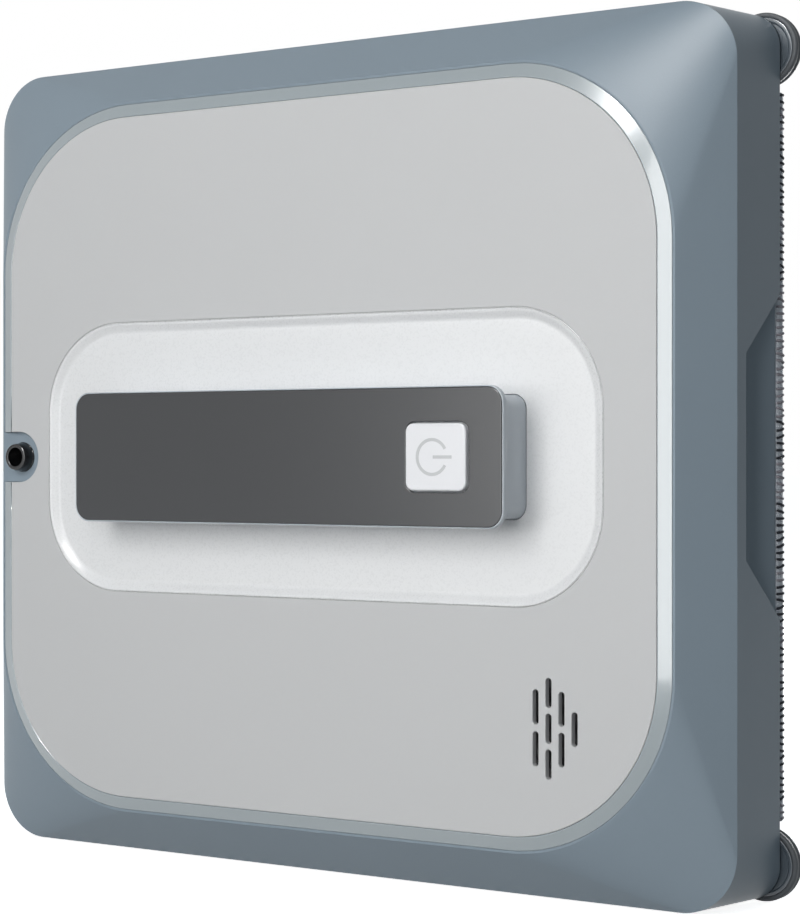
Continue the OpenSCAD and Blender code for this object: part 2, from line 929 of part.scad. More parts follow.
// Lugs that hold the wheel axles of one track
module track_lugs() {
    for (sx = [-1, 1])
        translate([sx * wheel_x, 0, 0])
            difference() {
                union() {
                    translate([-lug_w / 2, lug_y, base_top])
                        cube([lug_w, lug_t, axle_h + lug_rise - base_top]);
                    if (sx < 0)
                        translate([-lug_w / 2, idler_lug_y, base_top])
                            cube([lug_w, lug_t, axle_h + lug_rise - base_top]);
                }
                translate([0, 0, axle_h])
                    bar_y(axle_r, lug_y - over, idler_lug_y + lug_t + over);
            }
}

// Opening in the base plate for one track and its gears
module track_opening() {
    translate([-wheel_x - belt_r - slot_end, lug_y + lug_t, back_gap - over])
        cube([2 * (wheel_x + belt_r + slot_end), idler_lug_y - lug_y - lug_t,
            base_t + 2 * over]);
    translate([case_left - fit, case_y - over, back_gap - over])
        cube([case_right - case_left + 2 * fit, case_end_y - case_y + over + fit,
            base_t + 2 * over]);
}

module base_plate() {
    color([0.20, 0.21, 0.23])
        stand()
            difference() {
                union() {
                    slab(base_w, base_h, base_r, back_gap, base_top);
                    for (k = [0, 1])
                        half_turn(k)
                            track_lugs();
                    for (c = corner_signs)
                        translate([c[0] * sensor_x, c[1] * sensor_y, 0])
                            post(sleeve_out, base_top, sleeve_top);
                    for (sx = [-1, 1])
                        for (sy = [-1, 1])
                            translate([pcb_x + sx * (pcb_w / 2 - pcb_post_r),
                                -pcb_y + sy * (pcb_h / 2 - pcb_post_r), 0])
                                post(pcb_post_r, base_top, pcb_low);
                }
                for (k = [0, 1])
                    half_turn(k)
                        track_opening();
                for (k = [0, 1])
                    mirror([k, 0, 0])
                        recess_space(shell_t + fit, back_gap - over);
                post(port_r, back_gap - over, base_top + over);
                for (c = corner_signs) {
                    translate([c[0] * sensor_x, c[1] * sensor_y, 0]) {
                        post(sensor_r + run, back_gap - over, base_top + over);
                        post(sleeve_in, base_top, sleeve_top + over);
                    }
                    translate([c[0] * roller_x, c[1] * roller_y, 0])
                        post(pin_r, back_gap - over, base_top + over);
                }
                for (p = screw_places)
                    translate(p) {
                        post(screw_r, back_gap - over, base_top + over);
                        post(screw_head_r, back_gap - over, back_gap + screw_head_t);
                    }
            }
}

module hook_strips() {
    color([0.15, 0.15, 0.16])
        stand()
            translate([0, 0, cloth_t]) {
                for (sy = [-1, 1])
                    translate([-hook_long / 2, sy * (cloth_open_h + cloth_h) / 4 - hook_w / 2, 0])
                        cube([hook_long, hook_w, hook_t]);
                for (sx = [-1, 1])
                    translate([sx * (cloth_open_w + cloth_w) / 4 - hook_w / 2, -hook_short / 2, 0])
                        cube([hook_w, hook_short, hook_t]);
            }
}

module cleaning_cloth() {
    color([0.88, 0.89, 0.90])
        stand()
            difference() {
                slab(cloth_w, cloth_h, cloth_r, 0, cloth_t);
                slab(cloth_open_w, cloth_open_h, cloth_open_r, -over, cloth_t + over);
                for (c = corner_signs) {
                    translate([c[0] * roller_x, c[1] * roller_y, 0])
                        post(roller_r + roller_gap, -over, cloth_t + over);
                    translate([c[0] * sensor_x, c[1] * sensor_y, 0])
                        post(sensor_hole_r, -over, cloth_t + over);
                }
            }
}

module suction_seal() {
    color([0.10, 0.10, 0.11])
        stand()
            rotate_extrude()
                polygon([[seal_r - seal_w, seal_gap + seal_w / 4], [seal_r - seal_w / 2, seal_gap],
                    [seal_r, seal_gap + seal_w / 4], [seal_r, back_gap],
                    [seal_r - seal_w, back_gap]]);
}

module suction_grille() {
    color([0.22, 0.23, 0.25])
        stand() {
            tube(port_r, port_r - grille_ring, back_gap + grille_inset, base_top - grille_inset);
            intersection() {
                post(port_r - grille_ring, back_gap + grille_inset, base_top - grille_inset);
                union() {
                    for (a = [0:60:120])
                        rotate([0, 0, a])
                            translate([0, 0, (back_gap + base_top) / 2])
                                cube([2 * port_r, grille_bar, base_t], center = true);
                    tube(port_r / 2, port_r / 2 - grille_bar, back_gap, base_top);
                }
            }
        }
}

module fan_housing() {
    color([0.30, 0.31, 0.33])
        stand()
            difference() {
                union() {
                    post(fan_r, base_top, fan_top - fan_lid_t);
                    translate([-duct_w / 2 - duct_t, -duct_end, duct_low])
                        cube([duct_w + 2 * duct_t, duct_end, fan_top - duct_low]);
                }
                post(fan_r - fan_wall, base_top + fan_floor_t, fan_top + over);
                post(port_r, base_top - over, base_top + fan_floor_t + over);
                post(fan_r, fan_top - fan_lid_t, fan_top + over);
                translate([-duct_w / 2, -duct_end - over, duct_low + duct_t])
                    cube([duct_w, duct_end, fan_top - duct_low - 2 * duct_t]);
            }
}

module fan_lid() {
    color([0.26, 0.27, 0.29])
        stand() {
            post(fan_r, fan_top - fan_lid_t, fan_top);
        }
}

module fan_motor() {
    color([0.62, 0.63, 0.65])
        stand()
            difference() {
                post(fan_motor_r, fan_motor_low, fan_top - fan_lid_t);
                post(shaft_fan_r + run, fan_motor_low - over, fan_top - fan_lid_t - fan_wall);
            }
}

module fan_impeller() {
    color([0.16, 0.17, 0.18])
        stand()
            difference() {
                union() {
                    post(impeller_r, disc_low, disc_low + disc_t);
                    post(impeller_hub_r, impeller_low, disc_low + disc_t);
                    for (k = [0:blades - 1])
                        rotate([0, 0, 360 * k / blades])
                            translate([impeller_r * cos(blade_turn) / 2, 0, 0])
                                rotate([0, 0, blade_turn])
                                    translate([-impeller_r / 4, -blade_t / 2, impeller_low])
                                        cube([impeller_r * blade_l_share, blade_t,
                                            blade_h + disc_t / 2]);
                }
                post(shaft_fan_r, impeller_low - over, disc_low + disc_t + over);
            }
}

module fan_shaft() {
    color([0.75, 0.76, 0.78])
        stand()
            post(shaft_fan_r, impeller_low, fan_top - fan_lid_t - fan_wall - clear);
}

module main_board() {
    color([0.08, 0.34, 0.19])
        stand()
            translate([pcb_x - pcb_w / 2, -pcb_y - pcb_h / 2, pcb_low])
                cube([pcb_w, pcb_h, pcb_t]);
}

module board_chips() {
    color([0.12, 0.12, 0.13])
        stand()
            for (k = [0:3])
                translate([pcb_x - pcb_w / 2 + pcb_w * (k + 0.5) / 4 - chip_w / 2,
                    -pcb_y + (k % 2 == 0 ? -1 : 0) * chip_w, pcb_low + pcb_t])
                    cube([chip_w, chip_w, chip_t * chip_h_shares[k]]);
}

module battery_tray() {
    color([0.24, 0.25, 0.27])
        stand()
            difference() {
                translate([tray_x - cell_l / 2 - cell_gap - tray_t,
                    tray_y - 2 * cell_r - cell_gap - tray_t, base_top])
                    cube([cell_l + 2 * (cell_gap + tray_t), 4 * cell_r + 2 * (cell_gap + tray_t),
                        tray_h]);
                for (k = [-1, 1])
                    translate([tray_x - cell_l / 2 - cell_gap, tray_y + k * (cell_r + cell_gap / 4),
                        base_top + tray_t + cell_r])
                        rotate([0, 90, 0])
                            cylinder(r = cell_r + run, h = cell_l + 2 * cell_gap);
                translate([tray_x - cell_l / 2 - cell_gap, tray_y - 2 * cell_r - cell_gap,
                    base_top + tray_t + cell_r])
                    cube([cell_l + 2 * cell_gap, 4 * cell_r + 2 * cell_gap, tray_h]);
            }
}

module battery_cells() {
    color([0.20, 0.34, 0.56])
        stand()
            for (k = [-1, 1])
                translate([tray_x - cell_l / 2, tray_y + k * (cell_r + cell_gap / 4),
                    base_top + tray_t + cell_r])
                    rotate([0, 90, 0])
                        cylinder(r = cell_r, h = cell_l);
}

module wheel_axles() {
    color([0.74, 0.75, 0.77])
        stand()
            for (k = [0, 1])
                half_turn(k) {
                    translate([wheel_x, 0, axle_h])
                        bar_y(axle_r, lug_y, case_end_y);
                    translate([-wheel_x, 0, axle_h])
                        bar_y(axle_r, lug_y, idler_lug_y + lug_t);
                }
}

// Gear case with its open side to the track, for one track
module gear_case() {
    difference() {
        union() {
            translate([case_left, case_y, case_low])
                cube([case_right - case_left, case_end_y - case_y, case_high - case_low]);
            for (x = [case_left - ear_w, case_right])
                translate([x, case_floor_y, base_top])
                    cube([ear_w, case_end_y - case_floor_y, ear_t]);
        }
        translate([wheel_x, 0, axle_h])
            bar_y(gear_tip_r + case_gap, case_y + case_t, case_floor_y);
        translate([motor_x, 0, motor_h])
            bar_y(pinion_tip_r + case_gap, case_y + case_t, case_floor_y);
        translate([wheel_x, 0, axle_h])
            bar_y(hub_r + clear, case_y - over, case_floor_y);
        translate([motor_x, 0, motor_h])
            bar_y(shaft_r + clear, case_floor_y - over, case_end_y + over);
        translate([wheel_x, 0, axle_h])
            bar_y(axle_r, case_floor_y - over, case_end_y + over);
    }
}

module upper_gearbox() {
    color([0.27, 0.28, 0.30])
        stand()
            gear_case();
}

module lower_gearbox() {
    color([0.27, 0.28, 0.30])
        stand()
            half_turn(1)
                gear_case();
}

module drive_motor() {
    difference() {
        translate([motor_x, 0, motor_h])
            bar_y(motor_r, case_end_y, case_end_y + motor_l);
        translate([motor_x, 0, motor_h])
            bar_y(shaft_r + run, case_end_y - over, case_end_y + motor_l / 2);
    }
}

module upper_motor() {
    color([0.66, 0.67, 0.69])
        stand()
            drive_motor();
}

module lower_motor() {
    color([0.66, 0.67, 0.69])
        stand()
            half_turn(1)
                drive_motor();
}

// Roll angle of an involute at a radius, and the turn of its point, in degrees
function roll(rb, r) = sqrt(max(0, r * r / (rb * rb) - 1)) * 180 / PI;
function turn(rb, r) = roll(rb, r) - atan(roll(rb, r) * PI / 180);

// Flat gear outline with a tooth on +X
module gear_outline(teeth) {
    rp = teeth * gear_module / 2;
    rb = rp * cos(pressure);
    rt = rp + addendum_share * gear_module;
    rf = rp - dedendum_share * gear_module;
    low = max(rb, rf);
    half = 90 / teeth - gear_thin / (2 * rp) * 180 / PI + turn(rb, rp);
    flank = [for (k = [0:flank_steps]) let (r = low + (rt - low) * k / flank_steps)
        [r, half - turn(rb, r)]];
    tooth = concat([[rf, -half]], [for (p = flank) [p[0], -p[1]]],
        [for (k = [flank_steps:-1:0]) flank[k]], [[rf, half]]);
    polygon([for (k = [0:teeth - 1]) for (p = tooth)
        [p[0] * cos(p[1] + 360 * k / teeth), p[0] * sin(p[1] + 360 * k / teeth)]]);
}

// Gear between two distances from the middle, turned about its axis
module gear_y(teeth, from, to, phase) {
    translate([0, from, 0])
        rotate([-90, 0, 0])
            rotate([0, 0, -phase])
                linear_extrude(to - from)
                    gear_outline(teeth);
}

module drive_gear() {
    translate([wheel_x, 0, axle_h])
        difference() {
            union() {
                gear_y(gear_teeth, gear_y, gear_y + gear_w, mesh_angle);
                bar_y(hub_r, track_y + wheel_w / 2, gear_y);
            }
            bar_y(axle_bore, track_y, gear_y + gear_w + over);
        }
}

module drive_pinion() {
    translate([motor_x, 0, motor_h]) {
        gear_y(pinion_teeth, gear_y, gear_y + gear_w, mesh_angle + 180 + 180 / pinion_teeth);
        bar_y(shaft_r, gear_y, case_end_y + motor_l / 2 - clear);
    }
}

module upper_pinion() {
    color([0.78, 0.70, 0.46])
        stand()
            drive_pinion();
}

module lower_pinion() {
    color([0.78, 0.70, 0.46])
        stand()
            half_turn(1)
                drive_pinion();
}

module upper_gear() {
    color([0.86, 0.86, 0.84])
        stand()
            drive_gear();
}

module lower_gear() {
    color([0.86, 0.86, 0.84])
        stand()
            half_turn(1)
                drive_gear();
}

// Belt wheel with a channel for the belt's guide rib
module belt_wheel(x) {
    translate([x, 0, axle_h])
        difference() {
            bar_y(wheel_r, track_y - wheel_w / 2, track_y + wheel_w / 2);
            difference() {
                bar_y(wheel_r + over, track_y - channel_w / 2, track_y + channel_w / 2);
                bar_y(wheel_r - channel_deep, track_y - channel_w, track_y + channel_w);
            }
            for (s = [-1, 1])
                difference() {
                    bar_y(wheel_r - channel_deep - rim_band, track_y + s * (web_t + wheel_w) / 2
                        - wheel_w / 2, track_y + s * (web_t + wheel_w) / 2 + wheel_w / 2);
                    bar_y(hub_r, track_y - wheel_w, track_y + wheel_w);
                }
            bar_y(axle_bore, track_y - wheel_w, track_y + wheel_w);
        }
}

module upper_drive_wheel() {
    color([0.30, 0.31, 0.33])
        stand()
            belt_wheel(wheel_x);
}

module lower_drive_wheel() {
    color([0.30, 0.31, 0.33])
        stand()
            half_turn(1)
                belt_wheel(wheel_x);
}

module upper_idler_wheel() {
    color([0.30, 0.31, 0.33])
        stand()
            belt_wheel(-wheel_x);
}

module lower_idler_wheel() {
    color([0.30, 0.31, 0.33])
        stand()
            half_turn(1)
                belt_wheel(-wheel_x);
}

// Loop of one radius round both wheels, seen along the axles
module loop_outline(r) {
    for (s = [-1, 1])
        translate([s * wheel_x, axle_h])
            circle(r);
    translate([-wheel_x, axle_h - r])
        square([2 * wheel_x, 2 * r]);
}

module belt_layer(r_out, r_in, width) {
    translate([0, track_y, 0])
        rotate([90, 0, 0])
            linear_extrude(width, center = true)
                difference() {
                    loop_outline(r_out);
                    loop_outline(r_in);
                }
}

module belt() {
    pitch = 2 * wheel_x / belt_grooves;
    arc_grooves = round(PI * belt_r / pitch);
    difference() {
        union() {
            belt_layer(belt_r, belt_in_r, belt_w);
            belt_layer(belt_in_r, belt_in_r - rib_deep, rib_w);
        }
        for (k = [0:belt_grooves - 1])
            for (h = [axle_h - belt_r, axle_h + belt_r])
                translate([(k + 0.5) * pitch - wheel_x, track_y, h])
                    cube([groove_w, belt_w + over, 2 * groove_deep], center = true);
        for (s = [0, 180])
            for (k = [0:arc_grooves - 1])
                translate([s == 0 ? wheel_x : -wheel_x, track_y, axle_h])
                    rotate([0, s - 90 + 180 * (k + 0.5) / arc_grooves, 0])
                        translate([belt_r, 0, 0])
                            cube([2 * groove_deep, belt_w + over, groove_w], center = true);
    }
}

module upper_belt() {
    color([0.12, 0.12, 0.13])
        stand()
            belt();
}

module lower_belt() {
    color([0.12, 0.12, 0.13])
        stand()
            half_turn(1)
                belt();
}

module roller_pins() {
    color([0.72, 0.73, 0.75])
        stand()
            for (c = corner_signs)
                translate([c[0] * roller_x, c[1] * roller_y, 0]) {
                    post(pin_r, pin_head_low + pin_head_t, base_top);
                    post(pin_head_r, pin_head_low, pin_head_low + pin_head_t);
                }
}

module roller_hub(k) {
    color([0.80, 0.82, 0.84])
        stand()
            translate([corner_signs[k][0] * roller_x, corner_signs[k][1] * roller_y, 0])
                tube(roller_r - tyre_w, pin_r + run, roller_low, roller_top);
}

module roller_hub_a() { roller_hub(0); }
module roller_hub_b() { roller_hub(1); }
module roller_hub_c() { roller_hub(2); }
module roller_hub_d() { roller_hub(3); }

module roller_tyre(k) {
    color([0.20, 0.21, 0.22])
        stand()
            translate([corner_signs[k][0] * roller_x, corner_signs[k][1] * roller_y, 0])
                rotate_extrude() {
                    translate([roller_r - tyre_w, roller_low])
                        square([tyre_w - tyre_edge, roller_top - roller_low]);
                    translate([roller_r - tyre_edge, roller_low + tyre_edge])
                        square([tyre_edge, roller_top - roller_low - 2 * tyre_edge]);
                    for (h = [roller_low + tyre_edge, roller_top - tyre_edge])
                        translate([roller_r - tyre_edge, h])
                            circle(tyre_edge);
                }
}

module roller_tyre_a() { roller_tyre(0); }
module roller_tyre_b() { roller_tyre(1); }
module roller_tyre_c() { roller_tyre(2); }
module roller_tyre_d() { roller_tyre(3); }

module edge_pin(k) {
    color([0.85, 0.86, 0.87])
        stand()
            translate([corner_signs[k][0] * sensor_x, corner_signs[k][1] * sensor_y, 0]) {
                rotate_extrude()
                    polygon([[0, sensor_low], [sensor_r - tip_r, sensor_low],
                        [sensor_r, sensor_low + tip_r], [sensor_r, pin_top], [0, pin_top]]);
                post(collar_r, collar_low, collar_low + collar_t);
            }
}

module edge_pin_a() { edge_pin(0); }
module edge_pin_b() { edge_pin(1); }
module edge_pin_c() { edge_pin(2); }
module edge_pin_d() { edge_pin(3); }

module edge_springs() {
    color([0.70, 0.71, 0.73])
        stand()
            for (c = corner_signs)
                translate([c[0] * sensor_x, c[1] * sensor_y, 0])
                    tube(spring_out, spring_in, collar_low + collar_t + clear, sleeve_top);
}

module edge_switches() {
    color([0.13, 0.13, 0.14])
        stand()
            for (c = corner_signs)
                translate([c[0] * sensor_x - switch_l / 2, c[1] * sensor_y - switch_d / 2,
                    sleeve_top])
                    cube([switch_l, switch_d, edge_switch_t]);
}

module case_screws() {
    color([0.60, 0.61, 0.63])
        stand() {
            for (p = screw_places)
                translate(p) {
                    post(screw_head_r, back_gap, back_gap + screw_head_t);
                    post(screw_r, back_gap + screw_head_t, back_gap + screw_head_t + screw_l);
                }
            for (p = grip_posts)
                translate(p) {
                    post(screw_head_r, dish_under - screw_head_t, dish_under);
                    post(screw_r, dish_under, dish_under + screw_l);
                }
        }
}

outer_shell();
side_walls();
end_walls();
face_plate();
plate_trim();
handle_dish();
handle_grip();
handle_cover();
power_button();
power_icon();
button_dome();
switch_board();
speaker();
inlet_socket();
inlet_contact();
base_plate();
hook_strips();
cleaning_cloth();
suction_seal();
suction_grille();
fan_housing();
fan_lid();
fan_motor();
fan_impeller();
fan_shaft();
main_board();
board_chips();
battery_tray();
battery_cells();
wheel_axles();
upper_gearbox();
lower_gearbox();
upper_motor();
lower_motor();
upper_pinion();
lower_pinion();
upper_gear();
lower_gear();
upper_drive_wheel();
lower_drive_wheel();
upper_idler_wheel();
lower_idler_wheel();
upper_belt();
lower_belt();
roller_pins();
roller_hub_a();
roller_hub_b();
roller_hub_c();
roller_hub_d();
roller_tyre_a();
roller_tyre_b();
roller_tyre_c();
roller_tyre_d();
edge_pin_a();
edge_pin_b();
edge_pin_c();
edge_pin_d();
edge_springs();
edge_switches();
case_screws();
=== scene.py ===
# Window cleaning robot, seen from the front right
# X is to the right, Z up, and the glass is the plane Y = 0 with the handle towards -Y
import math
import bmesh
import bpy
import numpy as np
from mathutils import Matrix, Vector


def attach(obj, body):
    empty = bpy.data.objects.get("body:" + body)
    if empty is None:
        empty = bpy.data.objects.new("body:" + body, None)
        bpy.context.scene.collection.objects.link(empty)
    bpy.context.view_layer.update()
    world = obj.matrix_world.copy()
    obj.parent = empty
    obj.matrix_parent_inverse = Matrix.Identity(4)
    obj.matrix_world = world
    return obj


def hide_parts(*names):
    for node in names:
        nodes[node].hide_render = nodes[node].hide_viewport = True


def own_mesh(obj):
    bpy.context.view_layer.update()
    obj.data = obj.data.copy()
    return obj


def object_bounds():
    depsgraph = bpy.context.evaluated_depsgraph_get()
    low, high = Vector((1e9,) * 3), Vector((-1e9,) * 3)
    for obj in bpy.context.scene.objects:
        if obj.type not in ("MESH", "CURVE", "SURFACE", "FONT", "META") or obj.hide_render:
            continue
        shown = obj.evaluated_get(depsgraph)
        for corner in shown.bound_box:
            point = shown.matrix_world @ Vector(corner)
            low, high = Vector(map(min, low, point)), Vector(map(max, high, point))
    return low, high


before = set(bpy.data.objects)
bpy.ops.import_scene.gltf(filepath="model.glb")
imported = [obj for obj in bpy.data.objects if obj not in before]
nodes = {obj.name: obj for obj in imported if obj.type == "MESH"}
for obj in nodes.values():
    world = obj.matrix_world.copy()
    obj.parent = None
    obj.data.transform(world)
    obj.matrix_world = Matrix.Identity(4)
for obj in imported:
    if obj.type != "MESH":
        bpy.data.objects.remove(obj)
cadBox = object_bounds()
mm = 0.001
mergeWithin = 2e-6      # metres


# camera and light

cameraView = {
    "place": (0.3954, -0.6012, 0.0),
    "target": (0.0336, -0.0480, 0.0),
    "lens": 91.34, "sensor": 36, "clipStart": 0.01,
}


def aim(thing, target):
    thing.rotation_euler = (Vector(target) - thing.location).to_track_quat("-Z", "Y").to_euler()


def addCamera(view):
    data = bpy.data.cameras.new("camera")
    data.lens = view["lens"]
    data.sensor_width = view["sensor"]
    data.clip_start = view["clipStart"]
    camera = bpy.data.objects.new("camera", data)
    bpy.context.scene.collection.objects.link(camera)
    camera.location = view["place"]
    aim(camera, view["target"])
    bpy.context.scene.camera = camera


def addSoftbox(name, place, size, power, target=(0, -0.03, 0), glossOnly=False):
    data = bpy.data.lights.new(name, "AREA")
    data.shape = "RECTANGLE"
    data.size, data.size_y = size
    data.energy = power
    lamp = bpy.data.objects.new(name, data)
    bpy.context.scene.collection.objects.link(lamp)
    lamp.location = place
    lamp.visible_camera = False
    lamp.visible_diffuse = not glossOnly
    aim(lamp, target)


studio = {
    "lamps": {
        "key": {"place": (-0.12, -1.25, 0.36), "size": (0.50, 0.95), "power": 9.0},
        "strip": {"place": (0.236, -0.635, 0.03), "size": (0.10, 0.70), "power": 1.45},
        "corner": {"place": (0.18, -1.02, 0.96), "size": (0.30, 0.30), "power": 30.0,
                   "target": (0.11, -0.04, 0.11), "glossOnly": True},
        "panel": {"place": (-0.52, -1.25, 0.0), "size": (0.25, 0.5), "power": 1.4,
                  "target": (0, -0.06, 0), "glossOnly": True},
        "behind": {"place": (0, 1.30, 0.0), "size": (0.25, 0.22), "power": 15.0},
    },
    "ambient": 0.19,
    "roomColour": (0.76, 0.90, 1.0, 1),
}


def rayKinds(tree, *kinds):
    # 1 for a ray of any of the named kinds, 0 for the others
    path = tree.nodes.new("ShaderNodeLightPath")
    share = path.outputs[kinds[0]]
    for kind in kinds[1:]:
        either = tree.nodes.new("ShaderNodeMath")
        either.operation = "MAXIMUM"
        tree.links.new(share, either.inputs[0])
        tree.links.new(path.outputs[kind], either.inputs[1])
        share = either.outputs[0]
    return share


def addWorld():
    # the camera and reflections see white, and all other rays the dim blue room
    world = bpy.data.worlds.new("studio")
    bpy.context.scene.world = world
    world.use_nodes = True
    tree = world.node_tree
    tree.nodes.clear()
    room = tree.nodes.new("ShaderNodeBackground")
    room.inputs["Color"].default_value = studio["roomColour"]
    room.inputs["Strength"].default_value = studio["ambient"]
    white = tree.nodes.new("ShaderNodeBackground")
    white.inputs["Color"].default_value = (1, 1, 1, 1)
    white.inputs["Strength"].default_value = 1.0
    mix = tree.nodes.new("ShaderNodeMixShader")
    out = tree.nodes.new("ShaderNodeOutputWorld")
    link = tree.links.new
    link(rayKinds(tree, "Is Camera Ray", "Is Glossy Ray", "Is Transmission Ray"), mix.inputs[0])
    link(room.outputs[0], mix.inputs[1])
    link(white.outputs[0], mix.inputs[2])
    link(mix.outputs[0], out.inputs[0])


addCamera(cameraView)
addWorld()
for lampName, settings in studio["lamps"].items():
    addSoftbox(lampName, **settings)
print("camera and light set")


# shapes, drawn in millimetres with the glass level: x right, y up the window, h off the glass

def roundLoop(w, h, r, arcSteps=24, fractions=None, centre=(0, 0)):
    # corner centres plus r times (cos a, sin a), the straights cut at the given shares of their half length
    shares = np.linspace(-1, 1, 9)[1:-1] if fractions is None else np.asarray(fractions, float)
    turn = np.radians(np.linspace(0, 90, arcSteps + 1))
    points, normals = [], []
    for k in range(4):
        across, along = (w, h) if k % 2 == 0 else (h, w)
        out = np.array([math.cos(math.pi * k / 2), math.sin(math.pi * k / 2)])
        ahead = np.array([-out[1], out[0]])
        side = out * across / 2 + ahead * (shares * (along / 2 - r))[:, None]
        lean = np.cos(turn)[:, None] * out + np.sin(turn)[:, None] * ahead
        corner = out * (across / 2 - r) + ahead * (along / 2 - r) + lean * r
        points += [side, corner]
        normals += [np.repeat(out[None], len(shares), 0), lean]
    return np.concatenate(points) + centre, np.concatenate(normals)


def loopRows(loop, section):
    # each (offset, height) of the section moves the loop along its normals and lifts it
    points, normals = loop
    section = np.asarray(section, float)
    flat = points[None] + section[:, 0, None, None] * normals[None]
    lift = np.repeat(section[:, 1, None, None], len(points), 1)
    return np.concatenate([flat, lift], 2)


def lifted(outline, height):
    # (x, y) points with one height added
    return np.concatenate([outline, np.full((len(outline), 1), height)], 1)


def slotOutline(centre, width, length, arcPoints=13):
    # two half circles of radius width / 2, moved apart along y by length - width
    a = np.radians(np.concatenate([np.linspace(0, 180, arcPoints), np.linspace(180, 360, arcPoints)]))
    hole = np.stack([width / 2 * np.cos(a), width / 2 * np.sin(a)], 1)
    hole[:arcPoints, 1] += (length - width) / 2
    hole[arcPoints:, 1] -= (length - width) / 2
    return hole + centre


def arcSection(centre, radius, start, end, steps=5):
    # points at centre plus radius times (cos a, sin a)
    a = np.radians(np.linspace(start, end, steps + 1))
    return np.stack([centre[0] + radius * np.cos(a), centre[1] + radius * np.sin(a)], 1)


def turned(section, steps=64, centre=(0, 0)):
    # the section's radius and height carried round a circle: (radius cos a, radius sin a, height)
    section = np.asarray(section, float)
    a = np.linspace(0, 2 * math.pi, steps, endpoint=False)
    ring = np.stack([np.cos(a), np.sin(a)], 1)
    flat = section[:, 0, None, None] * ring[None] + np.asarray(centre, float)
    lift = np.repeat(section[:, 1, None, None], steps, 1)
    return np.concatenate([flat, lift], 2)


def stand(points):
    # glass-level drawing (x, y, h) to the standing frame (x, -h, y), in metres
    points = np.asarray(points, float)
    return np.stack([points[..., 0], -points[..., 2], points[..., 1]], -1) * mm


def quads(rows, cols, aroundU=True, aroundV=False):
    v, u = np.meshgrid(np.arange(rows if aroundV else rows - 1),
                       np.arange(cols if aroundU else cols - 1), indexing="ij")
    nextV, nextU = (v + 1) % rows, (u + 1) % cols
    return np.stack([v * cols + u, v * cols + nextU, nextV * cols + nextU, nextV * cols + u],
                    -1).reshape(-1, 4)


def solidFromGrid(name, grid, ring=False):
    # each row of the grid is a loop: the last row joins the first in a ring, or flat caps close both
    rows, cols = grid.shape[:2]
    faces = quads(rows, cols, aroundV=ring).tolist()
    if not ring:
        faces += [list(range(cols))[::-1], list(range((rows - 1) * cols, rows * cols))]
    mesh = bpy.data.meshes.new(name)
    mesh.from_pydata(stand(grid).reshape(-1, 3).tolist(), [], faces)
    return cleanPiece(name, mesh)


def cleanPiece(name, mesh):
    # doubles merged, and faces turned outwards
    work = bmesh.new()
    work.from_mesh(mesh)
    bmesh.ops.remove_doubles(work, verts=work.verts, dist=mergeWithin)
    bmesh.ops.dissolve_degenerate(work, dist=mergeWithin / 2, edges=work.edges)
    bmesh.ops.recalc_face_normals(work, faces=work.faces)
    work.to_mesh(mesh)
    work.free()
    return linked(name, mesh)


def linked(name, mesh):
    # the mesh as a smooth-shaded object of the scene
    mesh.shade_smooth()
    piece = bpy.data.objects.new(name, mesh)
    bpy.context.scene.collection.objects.link(piece)
    return piece


def evenShading(piece):
    weigh = piece.modifiers.new("shading", "WEIGHTED_NORMAL")
    weigh.keep_sharp = True


def soften(piece, width, segments=3, angle=28):
    bevel = piece.modifiers.new("edges", "BEVEL")
    bevel.width = width * mm
    bevel.segments = segments
    bevel.limit_method = "ANGLE"
    bevel.angle_limit = math.radians(angle)
    bevel.miter_outer = "MITER_ARC"
    evenShading(piece)


def softCopy(name, node, width):
    # a merged copy of a CAD node, its flat faces joined, with small rounded edges
    mesh = nodes[node].data.copy()
    mesh.materials.clear()
    work = bmesh.new()
    work.from_mesh(mesh)
    bmesh.ops.remove_doubles(work, verts=work.verts, dist=mergeWithin)
    bmesh.ops.dissolve_limit(work, angle_limit=math.radians(0.6), verts=work.verts, edges=work.edges)
    work.to_mesh(mesh)
    work.free()
    piece = linked(name, mesh)
    soften(piece, width, 2)
    return piece


def cut(piece, cutter, how="DIFFERENCE"):
    # the boolean is applied at once and its cutter removed
    step = piece.modifiers.new("cut", "BOOLEAN")
    step.operation = how
    step.solver = "EXACT"
    step.object = cutter
    bpy.context.view_layer.update()
    result = bpy.data.meshes.new_from_object(piece.evaluated_get(bpy.context.evaluated_depsgraph_get()))
    piece.modifiers.remove(step)
    old = piece.data
    piece.data = result
    bpy.data.meshes.remove(old)
    bpy.data.objects.remove(cutter)


def flatPiece(name, outlines, low, high, edge):
    # outlines filled between two heights, with edges rounded by edge
    data = bpy.data.curves.new(name, "CURVE")
    data.dimensions = "2D"
    data.fill_mode = "BOTH"
    data.extrude = ((high - low) / 2 - edge) * mm
    data.bevel_depth = edge * mm
    data.bevel_resolution = 2
    data.offset = -edge * mm
    for outline in outlines:
        spline = data.splines.new("POLY")
        spline.points.add(len(outline) - 1)
        flat = np.zeros((len(outline), 4))
        flat[:, :2] = np.asarray(outline) * mm
        flat[:, 3] = 1
        spline.points.foreach_set("co", flat.ravel())
        spline.use_cyclic_u = True
    shape = bpy.data.objects.new(name, data)
    bpy.context.scene.collection.objects.link(shape)
    bpy.context.view_layer.update()
    mesh = bpy.data.meshes.new_from_object(shape.evaluated_get(bpy.context.evaluated_depsgraph_get()))
    co = np.empty(len(mesh.vertices) * 3, np.float32)
    mesh.vertices.foreach_get("co", co)
    co = co.reshape(-1, 3)
    placed = np.stack([co[:, 0], -(co[:, 2] + (low + high) / 2 * mm), co[:, 1]], 1)
    mesh.vertices.foreach_set("co", placed.ravel())
    bpy.data.objects.remove(shape)
    piece = cleanPiece(name, mesh)
    evenShading(piece)
    return piece


